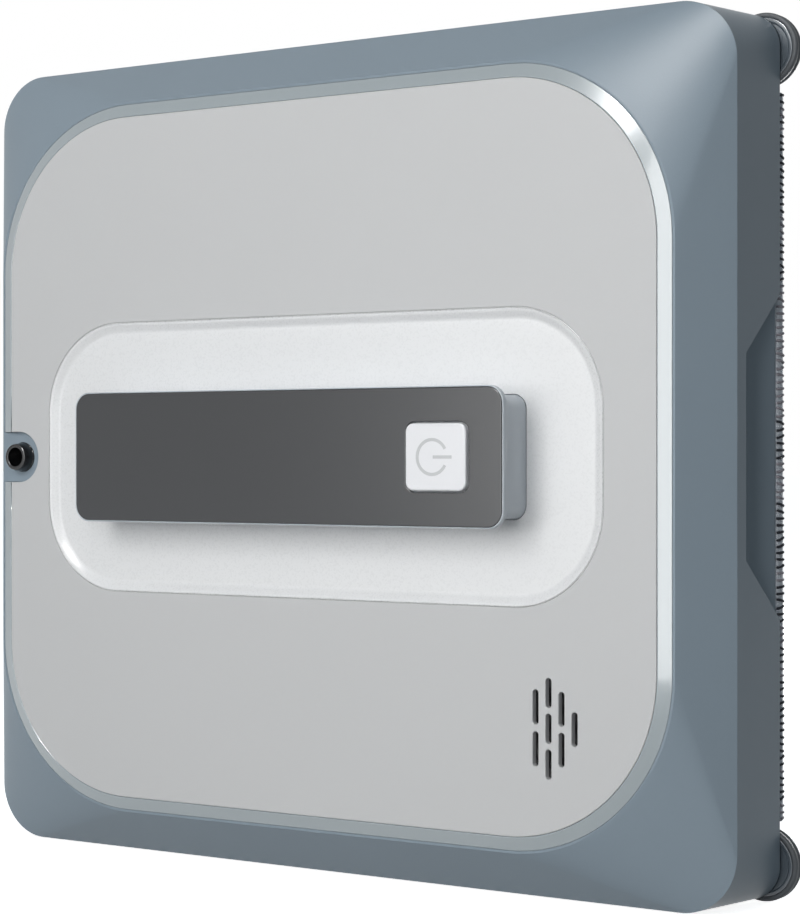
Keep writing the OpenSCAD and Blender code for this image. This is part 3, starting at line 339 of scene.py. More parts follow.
def dress(piece, material, body="chassis", stands=()):
    # material, the body it rides on, and the CAD nodes that it stands for
    piece.data.materials.clear()
    piece.data.materials.append(material)
    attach(piece, body)
    if stands:
        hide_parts(*stands)


# materials

def tone(r, g, b):
    # a screen colour, 0 to 255, as light
    c = np.array([r, g, b]) / 255
    return tuple(np.where(c < 0.04045, c / 12.92, ((c + 0.055) / 1.055) ** 2.4).tolist()) + (1,)


texture = {"driftDetail": 3, "grainDetail": 4, "grainShare": 0.3, "coatRough": 0.08}


def moulded(name, colour, rough=0.5, grain=1800, bump=0.00002, shift=0.05, spread=0.06, broad=18,
            gloss=0.5, coat=0.0, sheen=0.0, metal=0.0):
    # colour follows the slow drift plus grainShare of the fine grain, which also sets the gloss and bump
    material = bpy.data.materials.new(name)
    material.use_nodes = True
    tree = material.node_tree
    link = tree.links.new
    surface = tree.nodes["Principled BSDF"]
    place = tree.nodes.new("ShaderNodeTexCoord")
    drift = tree.nodes.new("ShaderNodeTexNoise")
    drift.inputs["Scale"].default_value = broad
    drift.inputs["Detail"].default_value = texture["driftDetail"]
    fine = tree.nodes.new("ShaderNodeTexNoise")
    fine.inputs["Scale"].default_value = grain
    fine.inputs["Detail"].default_value = texture["grainDetail"]
    shade = tree.nodes.new("ShaderNodeMix")
    shade.data_type = "RGBA"
    shade.inputs["A"].default_value = tuple(c * (1 - spread) for c in colour[:3]) + (1,)
    shade.inputs["B"].default_value = tuple(min(1, c * (1 + spread)) for c in colour[:3]) + (1,)
    both = tree.nodes.new("ShaderNodeMath")
    both.operation = "MULTIPLY_ADD"
    both.inputs[1].default_value = texture["grainShare"]
    level = tree.nodes.new("ShaderNodeMapRange")
    level.inputs["To Min"].default_value = rough - shift
    level.inputs["To Max"].default_value = rough + shift
    height = tree.nodes.new("ShaderNodeBump")
    height.inputs["Strength"].default_value = 1.0
    height.inputs["Distance"].default_value = bump
    link(place.outputs["Object"], drift.inputs["Vector"])
    link(place.outputs["Object"], fine.inputs["Vector"])
    link(fine.outputs["Fac"], both.inputs[0])
    link(drift.outputs["Fac"], both.inputs[2])
    link(both.outputs[0], shade.inputs["Factor"])
    link(shade.outputs["Result"], surface.inputs["Base Color"])
    link(fine.outputs["Fac"], level.inputs["Value"])
    link(level.outputs["Result"], surface.inputs["Roughness"])
    link(fine.outputs["Fac"], height.inputs["Height"])
    link(height.outputs["Normal"], surface.inputs["Normal"])
    surface.inputs["Specular IOR Level"].default_value = gloss
    surface.inputs["Coat Weight"].default_value = coat
    surface.inputs["Coat Roughness"].default_value = texture["coatRough"]
    surface.inputs["Sheen Weight"].default_value = sheen
    surface.inputs["Metallic"].default_value = metal
    return material


finish = {
    "shell": moulded("shellSatin", tone(139, 152, 162), rough=0.36, gloss=0.1, spread=0.03),
    "plate": moulded("plateMatt", tone(200, 200, 200), rough=0.55, bump=0.000006, gloss=0.3, spread=0.015),
    "trim": moulded("trimBright", tone(146, 156, 160), rough=0.22, bump=0.000006, gloss=0.6, coat=1.0,
                    spread=0.02),
    "dish": moulded("dishWhite", tone(231, 231, 231), rough=0.28, bump=0.000002, gloss=0.4, spread=0.015),
    "grip": moulded("gripSatin", tone(190, 196, 202), rough=0.38, gloss=0.5, spread=0.03),
    "cover": moulded("coverDark", tone(56, 57, 59), rough=0.22, bump=0.00001, gloss=0.5, spread=0.04),
    "button": moulded("buttonWhite", tone(234, 234, 236), rough=0.3, bump=0.000006, spread=0.01),
    "icon": moulded("iconGrey", tone(196, 197, 198), rough=0.45, bump=0.000006, spread=0.02),
    "socket": moulded("socketBlack", tone(18, 18, 20), rough=0.22, bump=0.000008, gloss=0.6),
    "black": moulded("innerBlack", tone(38, 38, 41), rough=0.5),
    "base": moulded("baseCharcoal", tone(58, 61, 66), rough=0.55, grain=1100, bump=0.00004),
    "inner": moulded("innerGrey", tone(74, 77, 81), rough=0.5, grain=1200, bump=0.00003),
    "wheel": moulded("wheelGrey", tone(82, 85, 90), rough=0.45),
    "gear": moulded("gearWhite", tone(214, 213, 208), rough=0.4),
    "hub": moulded("hubGrey", tone(84, 93, 101), rough=0.24, coat=0.7, bump=0.000008, spread=0.03),
    "rubber": moulded("rollerRubber", tone(74, 78, 82), rough=0.6, grain=2400, bump=0.00003, gloss=0.35),
    "belt": moulded("beltRubber", tone(44, 45, 48), rough=0.68, grain=2000, bump=0.00004, gloss=0.3),
    "seal": moulded("sealRubber", tone(36, 37, 40), rough=0.6, grain=2600, bump=0.00002, gloss=0.35),
    "steel": moulded("turnedSteel", tone(196, 198, 202), rough=0.3, grain=900, bump=0.000006, metal=1.0),
    "can": moulded("rolledSteel", tone(184, 186, 190), rough=0.34, grain=600, bump=0.000006, metal=1.0),
    "brass": moulded("brightBrass", tone(206, 176, 110), rough=0.28, grain=900, bump=0.000006, metal=1.0),
    "board": moulded("boardGreen", tone(30, 92, 58), rough=0.35, grain=500, bump=0.00002, spread=0.15),
    "wrap": moulded("cellFilm", tone(52, 92, 152), rough=0.25, bump=0.00001, coat=0.5),
    "hook": moulded("hookStrip", tone(44, 44, 47), rough=0.85, grain=2200, bump=0.0003, gloss=0.2),
    "pad": moulded("padPile", tone(222, 226, 232), rough=0.95, grain=1500, bump=0.0005, gloss=0.15,
                   sheen=0.4, spread=0.10, broad=220),
    "threadDark": moulded("threadDark", tone(52, 54, 60), rough=0.9, gloss=0.15, spread=0.2, broad=300),
    "threadPale": moulded("threadPale", tone(172, 166, 172), rough=0.9, gloss=0.15, spread=0.15, broad=300),
}
print("materials made")


# outer shell: a wall lofted from the widest line to the lip, with a grip recess in each side

shell = {
    "outline": (263.4, 247.2, 17.0), "backCorner": 10.0,
    "lip": (239.7, 219.7, 51.45),
    "backHeight": 5.6, "creaseHeight": 33.4, "lipHeight": 46.6,
    "wall": 2.4, "innerCrease": 32.2,
    "recessHalf": 28.0, "recessBackHalf": 45.0, "recessTop": 27.8,
    "recessDeep": 7.0, "recessShallow": 1.5,
    "trimSeat": ((238.3, 218.3, 50.75), 44.4),      # loop, and the height that its wall runs to
    "plateSeat": ((229.7, 209.7, 46.45), 45.8),
    "opening": ((214.0, 194.0, 38.6), 42.4),
    "innerLip": (240.4, 221.6, 38.8),
    "edge": 0.4, "sideCuts": 7, "arcSteps": 24,
}
louvre = {"columns": (-4, -3, -2, -1, 1, 2, 3, 4), "pitch": 7.0, "width": 3.0, "length": 19.0,
          "height": 19.0, "reach": (-118.0, -129.0)}
notch = {"place": (-111.7, 0.0), "radius": 8.0, "gap": 0.15, "floor": 46.0, "top": 49.0, "reach": -132.0,
         "padLow": 42.4, "padReach": -119.15, "socketHole": 4.3, "holeHeights": (40.0, 50.0)}


def shellRow(outline, height, recess=None, inset=0.0):
    # one loop of the wall: the straights of both sides carry extra cuts at the recess ends
    w, h, r = outline
    w, h, r = w - 2 * inset, h - 2 * inset, max(r - inset, 1)
    widest, cuts, arcSteps = shell["outline"], shell["sideCuts"], shell["arcSteps"]
    edge = recess[0] / (h / 2 - r) if recess else shell["recessHalf"] / (widest[1] / 2 - widest[2])
    outer = np.linspace(-1, -edge, cuts)[1:]
    middle = np.linspace(-edge, edge, cuts)
    shares = np.concatenate([outer, middle, -outer[::-1]])
    points, _ = roundLoop(w, h, r, arcSteps, shares)
    if recess:
        half = 2 * (len(shares) + arcSteps + 1)
        for start, sign in ((len(outer), -1), (half + len(outer), 1)):
            points[start:start + cuts, 0] += sign * recess[1]
    return lifted(points, height)


def recessAt(height, extra=0.0):
    # half length and depth of the recess, both straight lines of the height
    top, back = shell["recessTop"] + extra, shell["backHeight"]
    share = (top - height) / (shell["recessTop"] - back)
    half = shell["recessHalf"] + extra + (shell["recessBackHalf"] - shell["recessHalf"]) * share
    deep = shell["recessDeep"] + (shell["recessShallow"] - shell["recessDeep"]) * share
    return half, deep


def wallAt(height):
    # the corner radius grows in a straight line from the back edge to the crease
    low, high = shell["backHeight"], shell["creaseHeight"]
    r = shell["backCorner"] + (shell["outline"][2] - shell["backCorner"]) * (height - low) / (high - low)
    return shell["outline"][:2] + (r,)


def notchOutline(radius, reach):
    # half circle round the inlet, open to the left edge
    a = np.radians(np.linspace(-90, 90, 25))
    curve = np.stack([notch["place"][0] + radius * np.cos(a), radius * np.sin(a)], 1)
    return np.array([[reach, -radius], *curve.tolist(), [reach, radius]])


def shellWall():
    # up the outside, over the lip and its seats, and down the inside
    body, lip, wall, top = shell["outline"], shell["lip"], shell["wall"], shell["recessTop"]
    crease, level = shell["creaseHeight"], shell["lipHeight"]
    rows = [shellRow(wallAt(h), h, recessAt(h)) for h in np.linspace(shell["backHeight"], top, 5)]
    rows += [shellRow(wallAt(h), h) for h in (top, crease)]
    for t in (0.25, 0.5, 0.75, 1.0):
        ring = tuple(a + (b - a) * t for a, b in zip(body, lip))
        rows.append(shellRow(ring, crease + (level - crease) * t))
    for step in ("trimSeat", "plateSeat", "opening"):
        ring, nextLevel = shell[step]
        rows += [shellRow(ring, level), shellRow(ring, nextLevel)]
        level = nextLevel
    rows.append(shellRow(shell["innerLip"], level))
    rows.append(shellRow(body, shell["innerCrease"], None, wall))
    rows.append(shellRow(wallAt(top + wall), top + wall, None, wall))
    rows += [shellRow(wallAt(h), h, recessAt(h, wall), wall) for h in (top + wall, shell["backHeight"])]
    return np.array(rows)


def makeShell():
    piece = solidFromGrid("shellBody", shellWall(), ring=True)
    for column in louvre["columns"]:
        centre = (column * louvre["pitch"], louvre["height"])
        hole = slotOutline(centre, louvre["width"], louvre["length"], 9)
        grid = np.stack([np.insert(hole, 1, y, axis=1) for y in louvre["reach"]])
        cut(piece, solidFromGrid("louvre", grid))
    r, gap, floor = notch["radius"], notch["gap"], notch["floor"]
    for name, outline, low, high, how in (
            ("notchPad", notchOutline(r - gap, notch["padReach"]), notch["padLow"], floor, "UNION"),
            ("notchCut", notchOutline(r + gap, notch["reach"]), floor, notch["top"], "DIFFERENCE")):
        cut(piece, solidFromGrid(name, np.stack([lifted(outline, h) for h in (low, high)])), how)
    bore = [(notch["socketHole"], h) for h in notch["holeHeights"]]
    cut(piece, solidFromGrid("socketHole", turned(bore, 40, notch["place"])))
    soften(piece, shell["edge"], 3, 24)
    dress(piece, finish["shell"], stands=["outer_shell", "side_walls", "end_walls"])


makeShell()
print("shell made")


# face plate: a flat panel with the dish opening, the inlet notch and eight sound slots

plate = {
    "size": (230.0, 210.0, 46.6), "low": 45.8, "high": 48.0, "edge": 0.25, "arcSteps": 28,
    "opening": (198.2, 83.2, 27.9),
    "slotWidth": 1.8, "slotPitch": 4.07, "slotLength": 9.6, "slotCentre": (84.1, -74.4),
    # column in pitches, row in slot lengths, and length as a share of the longest
    "slots": [(-1.5, 0.6, 1.0), (-1.5, -0.6, 1.0), (-0.5, 1.02, 0.85), (-0.5, 0, 0.85),
              (-0.5, -1.02, 0.85), (0.5, 0.58, 0.98), (0.5, -0.58, 0.98), (1.5, 0.03, 0.97)],
}


def makePlate():
    points, _ = roundLoop(*plate["size"], plate["arcSteps"])
    left, r = -plate["size"][0] / 2, notch["radius"]
    rest = points[(points[:, 0] > left + 1) | (np.abs(points[:, 1]) > r + 1)]
    # in order of their direction, from one side of the notch round to the other
    order = np.argsort((np.degrees(np.arctan2(rest[:, 1], rest[:, 0])) - 180) % 360)
    outlines = [np.concatenate([rest[order], notchOutline(r, left)[::-1]])]
    outlines.append(roundLoop(*plate["opening"])[0])
    centre, pitch, longest = plate["slotCentre"], plate["slotPitch"], plate["slotLength"]
    for column, row, share in plate["slots"]:
        place = (centre[0] + column * pitch, centre[1] + row * longest)
        outlines.append(slotOutline(place, plate["slotWidth"], share * longest))
    piece = flatPiece("facePanel", outlines, plate["low"], plate["high"], plate["edge"])
    dress(piece, finish["plate"], stands=["face_plate"])


makePlate()


# trim: a bright band round the plate, open at the inlet

trim = {"width": 4.0, "drop": 1.4, "low": 44.4, "high": plate["high"], "edge": 0.3, "lap": 0.1,
        "innerGap": 0.05, "innerEdge": 0.32, "innerShift": 0.03, "innerSink": 0.1, "cuts": 4}


def makeTrim():
    # the section slopes down by drop over width, and is carried from one side of the notch to the other
    width, high, low, e, lap = (trim[key] for key in ("width", "high", "low", "edge", "lap"))
    slope = math.degrees(math.atan2(trim["drop"], width))
    inner = trim["innerEdge"]
    innerPlace = (inner + trim["innerShift"], high - inner - trim["innerSink"])
    section = [(trim["innerGap"], low), (width + lap, low)]
    section += arcSection((width + lap - e, high - trim["drop"] - e + lap), e, 0, 90 - slope, 5).tolist()
    section += arcSection(innerPlace, inner, 90 - slope, 180, 4).tolist()
    end = notch["radius"] / (plate["size"][1] / 2 - plate["size"][2])
    cuts, arcSteps = trim["cuts"], plate["arcSteps"]
    shares = np.concatenate([np.linspace(-1, -end, cuts + 1)[1:], np.linspace(end, 1, cuts + 1)[:-1]])
    grid = loopRows(roundLoop(*plate["size"], arcSteps, shares), section)
    grid = np.roll(grid, -2 * (len(shares) + arcSteps + 1) - cuts, 1)
    piece = solidFromGrid("brightTrim", np.swapaxes(grid, 0, 1))
    evenShading(piece)
    dress(piece, finish["trim"], stands=["plate_trim"])


makeTrim()


# dish: a shallow white tray, its slope a half cosine wave

dish = {"size": plate["opening"], "floor": 46.4, "under": 44.6, "top": plate["high"], "slope": 3.6,
        "slopeShare": 0.93, "gap": 0.03, "lip": 0.3, "hidden": (130.0, 14.0, 5.0)}


def makeDish():
    floor, top, slope, gap, lip = (dish[key] for key in ("floor", "top", "slope", "gap", "lip"))
    wave = [(-slope + slope * s * dish["slopeShare"], floor + (top - floor) * (1 - math.cos(math.pi * s)) / 2)
            for s in np.linspace(1, 0, 13)]
    edge = arcSection((-gap - lip, top - lip), lip, 20, 90, 4).tolist()
    rows = loopRows(roundLoop(*dish["size"]), [(-gap, dish["under"]), *edge, *wave])
    inner, _ = roundLoop(*dish["hidden"])       # its hole, out of sight under the handle
    floorRows = [lifted(inner, h) for h in (floor, dish["under"])]
    piece = solidFromGrid("whiteDish", np.concatenate([rows, floorRows]), ring=True)
    evenShading(piece)
    dress(piece, finish["dish"], stands=["handle_dish"])


makeDish()
print("plate, trim and dish made")


# handle: a stem with a wider flange, a dark cover let into it, and the power button

handle = {
    "stem": (147.6, 34.0, 3.7), "flange": (152.0, 39.2, 5.0), "cover": (151.2, 38.4, 4.6),
    "floor": dish["floor"], "flangeLow": 59.8, "flangeHigh": 61.85, "pocket": 60.6, "hole": 58.0, "top": 62.0,
    "foot": 0.5, "footBend": 0.12, "neck": 0.6, "rim": 0.45, "lip": 0.22,
    "fit": 0.02, "coverEdge": 0.3, "coverGap": 0.05,
}
button = {"place": (54.8, 0.0), "size": (19.7, 18.7, 2.5), "gap": 0.4, "top": 62.9, "edge": 0.6,
          "skirt": 1.5, "skirtLow": 58.4, "skirtHigh": 59.4}


def buttonLoop(extra=0.0):
    w, h, r = button["size"]
    return roundLoop(w + 2 * extra, h + 2 * extra, r + extra, centre=button["place"])


def makeGrip():
    floor, low, high, fit = (handle[key] for key in ("floor", "flangeLow", "flangeHigh", "fit"))
    foot, bend, neck, rim, lip = (handle[key] for key in ("foot", "footBend", "neck", "rim", "lip"))
    rows = [loopRows(roundLoop(*handle["stem"]),
                     [(foot, floor), (bend, floor + bend), (0, floor + foot),
                      (0, low - neck), (neck / 4, low - neck / 4), (neck, low)])]
    edges = arcSection((-rim, low + rim), rim, -90, 0, 4).tolist()
    edges += arcSection((-lip, high - lip), lip, 0, 90, 4).tolist()
    rows.append(loopRows(roundLoop(*handle["flange"]), edges))
    rows.append(loopRows(roundLoop(*handle["cover"]), [(fit, high), (fit, handle["pocket"])]))
    rows.append(loopRows(buttonLoop(button["gap"]), [(0, handle["pocket"]), (0, handle["hole"])]))
    piece = solidFromGrid("gripBody", np.concatenate(rows))
    evenShading(piece)
    dress(piece, finish["grip"], stands=["handle_grip"])


def makeCover():
    pocket, top, edge, gap = (handle[key] for key in ("pocket", "top", "coverEdge", "coverGap"))
    low = pocket + handle["fit"]
    rise = arcSection((-gap - edge, top - edge), edge, 0, 90, 4).tolist()
    fall = arcSection((edge, top - edge), edge, 90, 180, 4).tolist()
    outer = loopRows(roundLoop(*handle["cover"]), [(-gap - edge, low), (-gap, pocket + edge)] + rise)
    inner = loopRows(buttonLoop(button["gap"]), fall + [(0, low)])
    piece = solidFromGrid("darkCover", np.concatenate([outer, inner]), ring=True)
    evenShading(piece)
    dress(piece, finish["cover"], stands=["handle_cover"])


def makeButton():
    top, edge, skirt = button["top"], button["edge"], button["skirt"]
    low, high = button["skirtLow"], button["skirtHigh"]
    section = [(skirt, low), (skirt, high), (0, high), (0, top - edge)]
    section += arcSection((-edge, top - edge), edge, 0, 90, 6).tolist()
    piece = solidFromGrid("pushButton", loopRows(buttonLoop(), section))
    evenShading(piece)
    dress(piece, finish["button"], "button", ["power_button"])


makeGrip()
makeCover()
makeButton()
print("handle and button made")


# inlet: a black barrel with a rounded mouth and a collar at its foot

inlet = {"stem": 4.2, "foot": 4.75, "mouth": 4.15, "bore": 3.0, "core": 0.05,
         "back": 35.0, "boreFloor": 42.0, "low": 46.0, "high": 50.0,
         "footEdge": 0.2, "footRise": 0.35, "mouthEdge": 0.35, "boreEdge": 0.25, "bevel": 0.12}


def makeInlet():
    stem, foot, mouth, bore, core = (inlet[key] for key in ("stem", "foot", "mouth", "bore", "core"))
    back, floor, low, high = (inlet[key] for key in ("back", "boreFloor", "low", "high"))
    a, b, c = inlet["footEdge"], inlet["mouthEdge"], inlet["boreEdge"]
    section = [(stem, back), (stem, low), (foot, low)]
    section += arcSection((foot - a, low + inlet["footRise"]), a, 0, 80, 3).tolist()
    section += arcSection((mouth - b, high - b), b, 5, 90, 5).tolist()
    section += arcSection((bore + c, high - c), c, 90, 180, 4).tolist()
    section += [(bore, floor), (core, floor), (core, back)]
    piece = solidFromGrid("inletBarrel", turned(section, 56, notch["place"]), ring=True)
    soften(piece, inlet["bevel"], 2, 40)
    dress(piece, finish["socket"], stands=["inlet_socket"])


makeInlet()


# corner rollers: a pale hub with a raised rim and a soft dark tyre

roller = {
    "places": {"a": (-126.2, 113.5), "b": (126.2, 113.5), "c": (126.2, -113.5), "d": (-126.2, -113.5)},
    "r": 10.4, "hub": 9.0, "bore": 1.66, "low": 1.2, "high": 5.2,
    "boss": 3.6, "rim": 1.0, "rimEdge": 0.2, "sunk": 0.5, "slope": 0.3, "bevel": 0.12,
    "tyreEdge": 0.8, "tyreGap": 0.02, "chamfer": (0.25, 0.1), "shoulder": 1.4, "groove": 0.2,
}


def makeRollers():
    low, high, hub, r, bore = (roller[key] for key in ("low", "high", "hub", "r", "bore"))
    boss, rim, rimEdge, sunk, slope = (roller[key] for key in ("boss", "rim", "rimEdge", "sunk", "slope"))
    disc = [(bore, low), (hub, low), (hub, high - rimEdge), (hub - rimEdge, high), (hub - rim, high),
            (hub - rim - slope, high - sunk), (boss + slope, high - sunk), (boss, high), (bore, high)]
    edge, gap, shoulder, groove = (roller[key] for key in ("tyreEdge", "tyreGap", "shoulder", "groove"))
    wide, tall = roller["chamfer"]
    ledge = shoulder + groove
    tyre = [(hub + gap, low + tall), (hub + wide, low), (r - edge, low)]
    tyre += arcSection((r - edge, low + edge), edge, -90, 0, 6)[1:].tolist()
    tyre += [(r, low + shoulder), (r - groove, low + ledge), (r - groove, high - ledge), (r, high - shoulder)]
    tyre += arcSection((r - edge, high - edge), edge, 0, 90, 6).tolist()
    tyre += [(hub + wide, high), (hub + gap, high - tall)]
    for key, place in roller["places"].items():
        wheel = solidFromGrid("rollerDisc_" + key, turned(disc, 64, place), ring=True)
        soften(wheel, roller["bevel"], 2, 30)
        dress(wheel, finish["hub"], "roller_" + key, ["roller_hub_" + key])
        ring = solidFromGrid("rollerRubber_" + key, turned(tyre, 72, place), ring=True)
        dress(ring, finish["rubber"], "roller_" + key, ["roller_tyre_" + key])


makeRollers()
print("inlet and rollers made")


# cleaning pad: a soft ring with its outer edge overlocked in dark and pale thread

pad = {"size": (261.4, 245.2), "opening": (184.0, 166.0, 20.0), "low": 0.0, "high": 4.8,
       "edge": 1.5, "holeEdge": 0.4, "bite": 12.8, "bitePlace": roller["places"]["b"],
       "pinHole": 5.5, "pinPlace": (103.7, 91.8), "pinCut": (-2.0, 8.0), "sidePoints": 49, "arcPoints": 26}


def padOutline(inset=0.0):
    # straight sides joined by the arcs that clear the rollers, one quarter mirrored into four
    halfW, halfH = pad["size"][0] / 2 - inset, pad["size"][1] / 2 - inset
    (cx, cy), r, count = pad["bitePlace"], pad["bite"] + inset, pad["sidePoints"]
    sideY = cy - math.sqrt(r * r - (halfW - cx) ** 2)
    topX = cx - math.sqrt(r * r - (halfH - cy) ** 2)
    start = math.atan2(sideY - cy, halfW - cx)
    end = math.atan2(halfH - cy, topX - cx)
    a = np.linspace(start, end - 2 * math.pi, pad["arcPoints"])
    arc = np.stack([cx + r * np.cos(a), cy + r * np.sin(a)], 1)
    side = np.stack([np.full(count, halfW), np.linspace(0, sideY, count + 1)[:-1]], 1)
    top = np.stack([np.linspace(topX, 0, count + 1)[1:], np.full(count, halfH)], 1)
    quarter = np.concatenate([side, arc, top])
    upper = np.concatenate([quarter, quarter[::-1][1:] * (-1, 1)])
    return np.concatenate([upper, -upper[1:-1]])


def makePad():
    # the outer edge is a half round: inset e (1 - cos a), height e sin a past the straight part
    e, low, high = pad["edge"], pad["low"], pad["high"]
    middle, straight = (low + high) / 2, (high - low) / 2 - e
    outer, rim = padOutline(), padOutline(e)
    hole, _ = roundLoop(*pad["opening"], 64, np.linspace(-1, 1, 160)[1:-1])
    # each point of the outline is paired with the opening's point in the same direction
    angle = np.unwrap(np.arctan2(outer[:, 1], outer[:, 0]))
    holeAngle = np.unwrap(np.arctan2(hole[:, 1], hole[:, 0]))
    wrapped = np.concatenate([holeAngle - 2 * math.pi, holeAngle, holeAngle + 2 * math.pi])
    inner = np.stack([np.interp(angle, wrapped, np.tile(hole[:, k], 3)) for k in (0, 1)], 1)
    rows = [lifted(padOutline(e * (1 - math.cos(a))), middle + straight * np.sign(a) + e * math.sin(a))
            for a in np.radians(np.linspace(-90, 90, 7))]
    across = (0.2, 0.4, 0.6, 0.8)
    rows += [lifted(rim * (1 - t) + inner * t, high) for t in across]
    rows += [lifted(inner, high - pad["holeEdge"]), lifted(inner, low + pad["holeEdge"])]
    rows += [lifted(rim * (1 - t) + inner * t, low) for t in across[::-1]]
    piece = solidFromGrid("cleaningPad", np.array(rows), ring=True)
    drill = [(pad["pinHole"], h) for h in pad["pinCut"]]
    for sign in ((-1, -1), (-1, 1), (1, -1), (1, 1)):
        cut(piece, solidFromGrid("pinHole", turned(drill, 32, np.multiply(sign, pad["pinPlace"]))))
    dress(piece, finish["pad"], stands=["cleaning_cloth"])
    return outer


thread = {"pitch": 1.9, "inset": 0.35, "reach": 0.5, "grow": (0.7, 1.2), "lean": 0.3, "slide": 1.4,
          "patch": 3, "patchSeed": 5, "speckle": 0.1, "darkAbove": 0.47,
          "dark": {"seed": 11, "radius": 0.38}, "pale": {"seed": 12, "radius": 0.36}}


def threadLoops(name, places, headings, seed, radius, material):
    # one bent tube per stitch: (reach cos a, tall sin a) over the edge, with a from -100 to 100 degrees,
    # leaning along the edge by slide sin a, in six lengths of five sides
    rng = np.random.default_rng(seed)
    n = len(places)
    a = np.radians(np.linspace(-100, 100, 7))
    cosA, sinA = np.cos(a), np.sin(a)
    around = np.linspace(0, 2 * math.pi, 5, endpoint=False)
    tall = (pad["high"] - pad["low"]) / 2 - radius
    lean = rng.uniform(-thread["lean"], thread["lean"], (n, 1))
    grow = rng.uniform(*thread["grow"], (n, 1))
    out = thread["reach"] * cosA[None] * grow
    up = (pad["low"] + pad["high"]) / 2 + tall * sinA[None] * np.ones((n, 1))
    slide = lean * sinA[None] * thread["slide"]
    along = np.stack([-headings[:, 1], headings[:, 0]], 1)
    flat = places[:, None] + out[..., None] * headings[:, None] + slide[..., None] * along[:, None]
    spine = np.concatenate([flat, up[..., None]], 2)
    outward = lifted(headings, 0)[:, None, :] * cosA[None, :, None]
    outward[..., 2] += sinA[None]
    sideways = lifted(along, 0)[:, None, :] * np.ones((1, len(a), 1))
    ring = spine[:, :, None] + radius * (np.cos(around)[:, None] * outward[:, :, None]
                                         + np.sin(around)[:, None] * sideways[:, :, None])
    faces = (np.arange(n)[:, None, None] * len(a) * 5 + quads(len(a), 5)[None]).reshape(-1, 4)
    mesh = bpy.data.meshes.new(name)
    mesh.from_pydata(stand(ring).reshape(-1, 3).tolist(), [], faces.tolist())
    dress(linked(name, mesh), material)


def makeThreads(outline):
    # stitches spaced evenly along the pad's edge, dark or pale in short patches
    closed = np.concatenate([outline, outline[:1]])
    step = np.linalg.norm(np.diff(closed, axis=0), axis=1)
    run = np.concatenate([[0], np.cumsum(step)])
    count = int(run[-1] / thread["pitch"])
    at = np.arange(count) * run[-1] / count
    places = np.stack([np.interp(at, run, closed[:, k]) for k in (0, 1)], 1)
    ahead = np.stack([np.interp(at + 0.3, run, closed[:, k], period=run[-1]) for k in (0, 1)], 1) - places
    heading = np.stack([ahead[:, 1], -ahead[:, 0]], 1)
    heading /= np.linalg.norm(heading, axis=1)[:, None]
    places -= heading * thread["inset"]
    rng = np.random.default_rng(thread["patchSeed"])
    patch, speckle = thread["patch"], thread["speckle"]
    patches = rng.random(count // patch + 2)
    shade = np.interp(np.arange(count) / patch, np.arange(len(patches)), patches)
    dark = shade + rng.uniform(-speckle, speckle, count) > thread["darkAbove"]
    for name, key, pick, look in (("edgeThreadDark", "dark", dark, "threadDark"),
                                  ("edgeThreadPale", "pale", ~dark, "threadPale")):
        threadLoops(name, places[pick], heading[pick], **thread[key], material=finish[look])


makeThreads(makePad())


# pile: small rounded tufts in staggered rows over the side of the pad that wipes the glass

pile = {"pitch": 3.0, "jitter": 0.35, "radius": 1.45, "height": 0.8, "grow": (0.8, 1.1), "lean": 0.5,
        "sink": 0.35, "margin": 2.4, "pinMargin": 1.9, "columns": 46, "rows": 50, "seed": 21}


def makePile():
    # each tuft is a dome of six sides: radius r cos a, height h sin a, with a from 0 to 70 degrees
    rng = np.random.default_rng(pile["seed"])
    sides, rise = 6, np.radians([0, 38, 70])[:, None]
    pitch, jitter, m = pile["pitch"], pile["jitter"], pile["margin"]
    columns, rows = pile["columns"], pile["rows"]
    u, v = np.meshgrid(np.arange(-columns, columns + 1), np.arange(-rows, rows + 1))
    at = np.stack([(u + 0.5 * (v % 2)) * pitch, v * pitch * 0.866], -1).reshape(-1, 2)
    at += rng.uniform(-jitter, jitter, at.shape)
    far = np.abs(at)
    (w, h), (openW, openH, _) = pad["size"], pad["opening"]
    keep = (far[:, 0] < w / 2 - m) & (far[:, 1] < h / 2 - m)
    keep &= (far[:, 0] > openW / 2 + m) | (far[:, 1] > openH / 2 + m)
    keep &= np.hypot(*(far - pad["bitePlace"]).T) > pad["bite"] + m
    keep &= np.hypot(*(far - pad["pinPlace"]).T) > pad["pinHole"] + pile["pinMargin"]
    at = at[keep]
    n, per = len(at), len(rise) * sides
    turn = rng.uniform(0, math.pi, (n, 1, 1)) + np.arange(sides) * math.pi / 3
    grow = rng.uniform(*pile["grow"], (n, 1, 1))
    slide = rng.uniform(-pile["lean"], pile["lean"], (n, 1, 1, 2)) * np.sin(rise)[..., None]
    ring = np.stack([np.cos(turn), np.sin(turn)], -1)
    flat = pile["radius"] * grow[..., None] * np.cos(rise)[..., None] * ring + slide + at[:, None, None]
    level = pad["low"] + pile["sink"] - pile["height"] * grow * np.sin(rise) * np.ones((n, len(rise), sides))
    points = np.concatenate([flat, level[..., None]], -1).reshape(-1, 3)
    first = np.arange(n)[:, None] * per
    faces = (first[..., None] + quads(len(rise), sides)[None]).reshape(-1, 4).tolist()
    faces += (first + np.arange(per - sides, per)[None]).tolist()
    mesh = bpy.data.meshes.new("padPile")
    mesh.from_pydata(stand(points).tolist(), [], faces)
    dress(cleanPiece("padPile", mesh), finish["pad"])


makePile()
print("pad made")


# back: the lip round the suction port, the rollers' pins, the sensors' springs, and softened copies

seal = {"radius": 50.0, "width": 4.0, "low": 0.3, "high": 5.6, "foot": 1.6, "shoulder": 2.3,
        "neck": 0.9, "waist": 1.1, "lip": 0.9, "lipRise": 1.6}


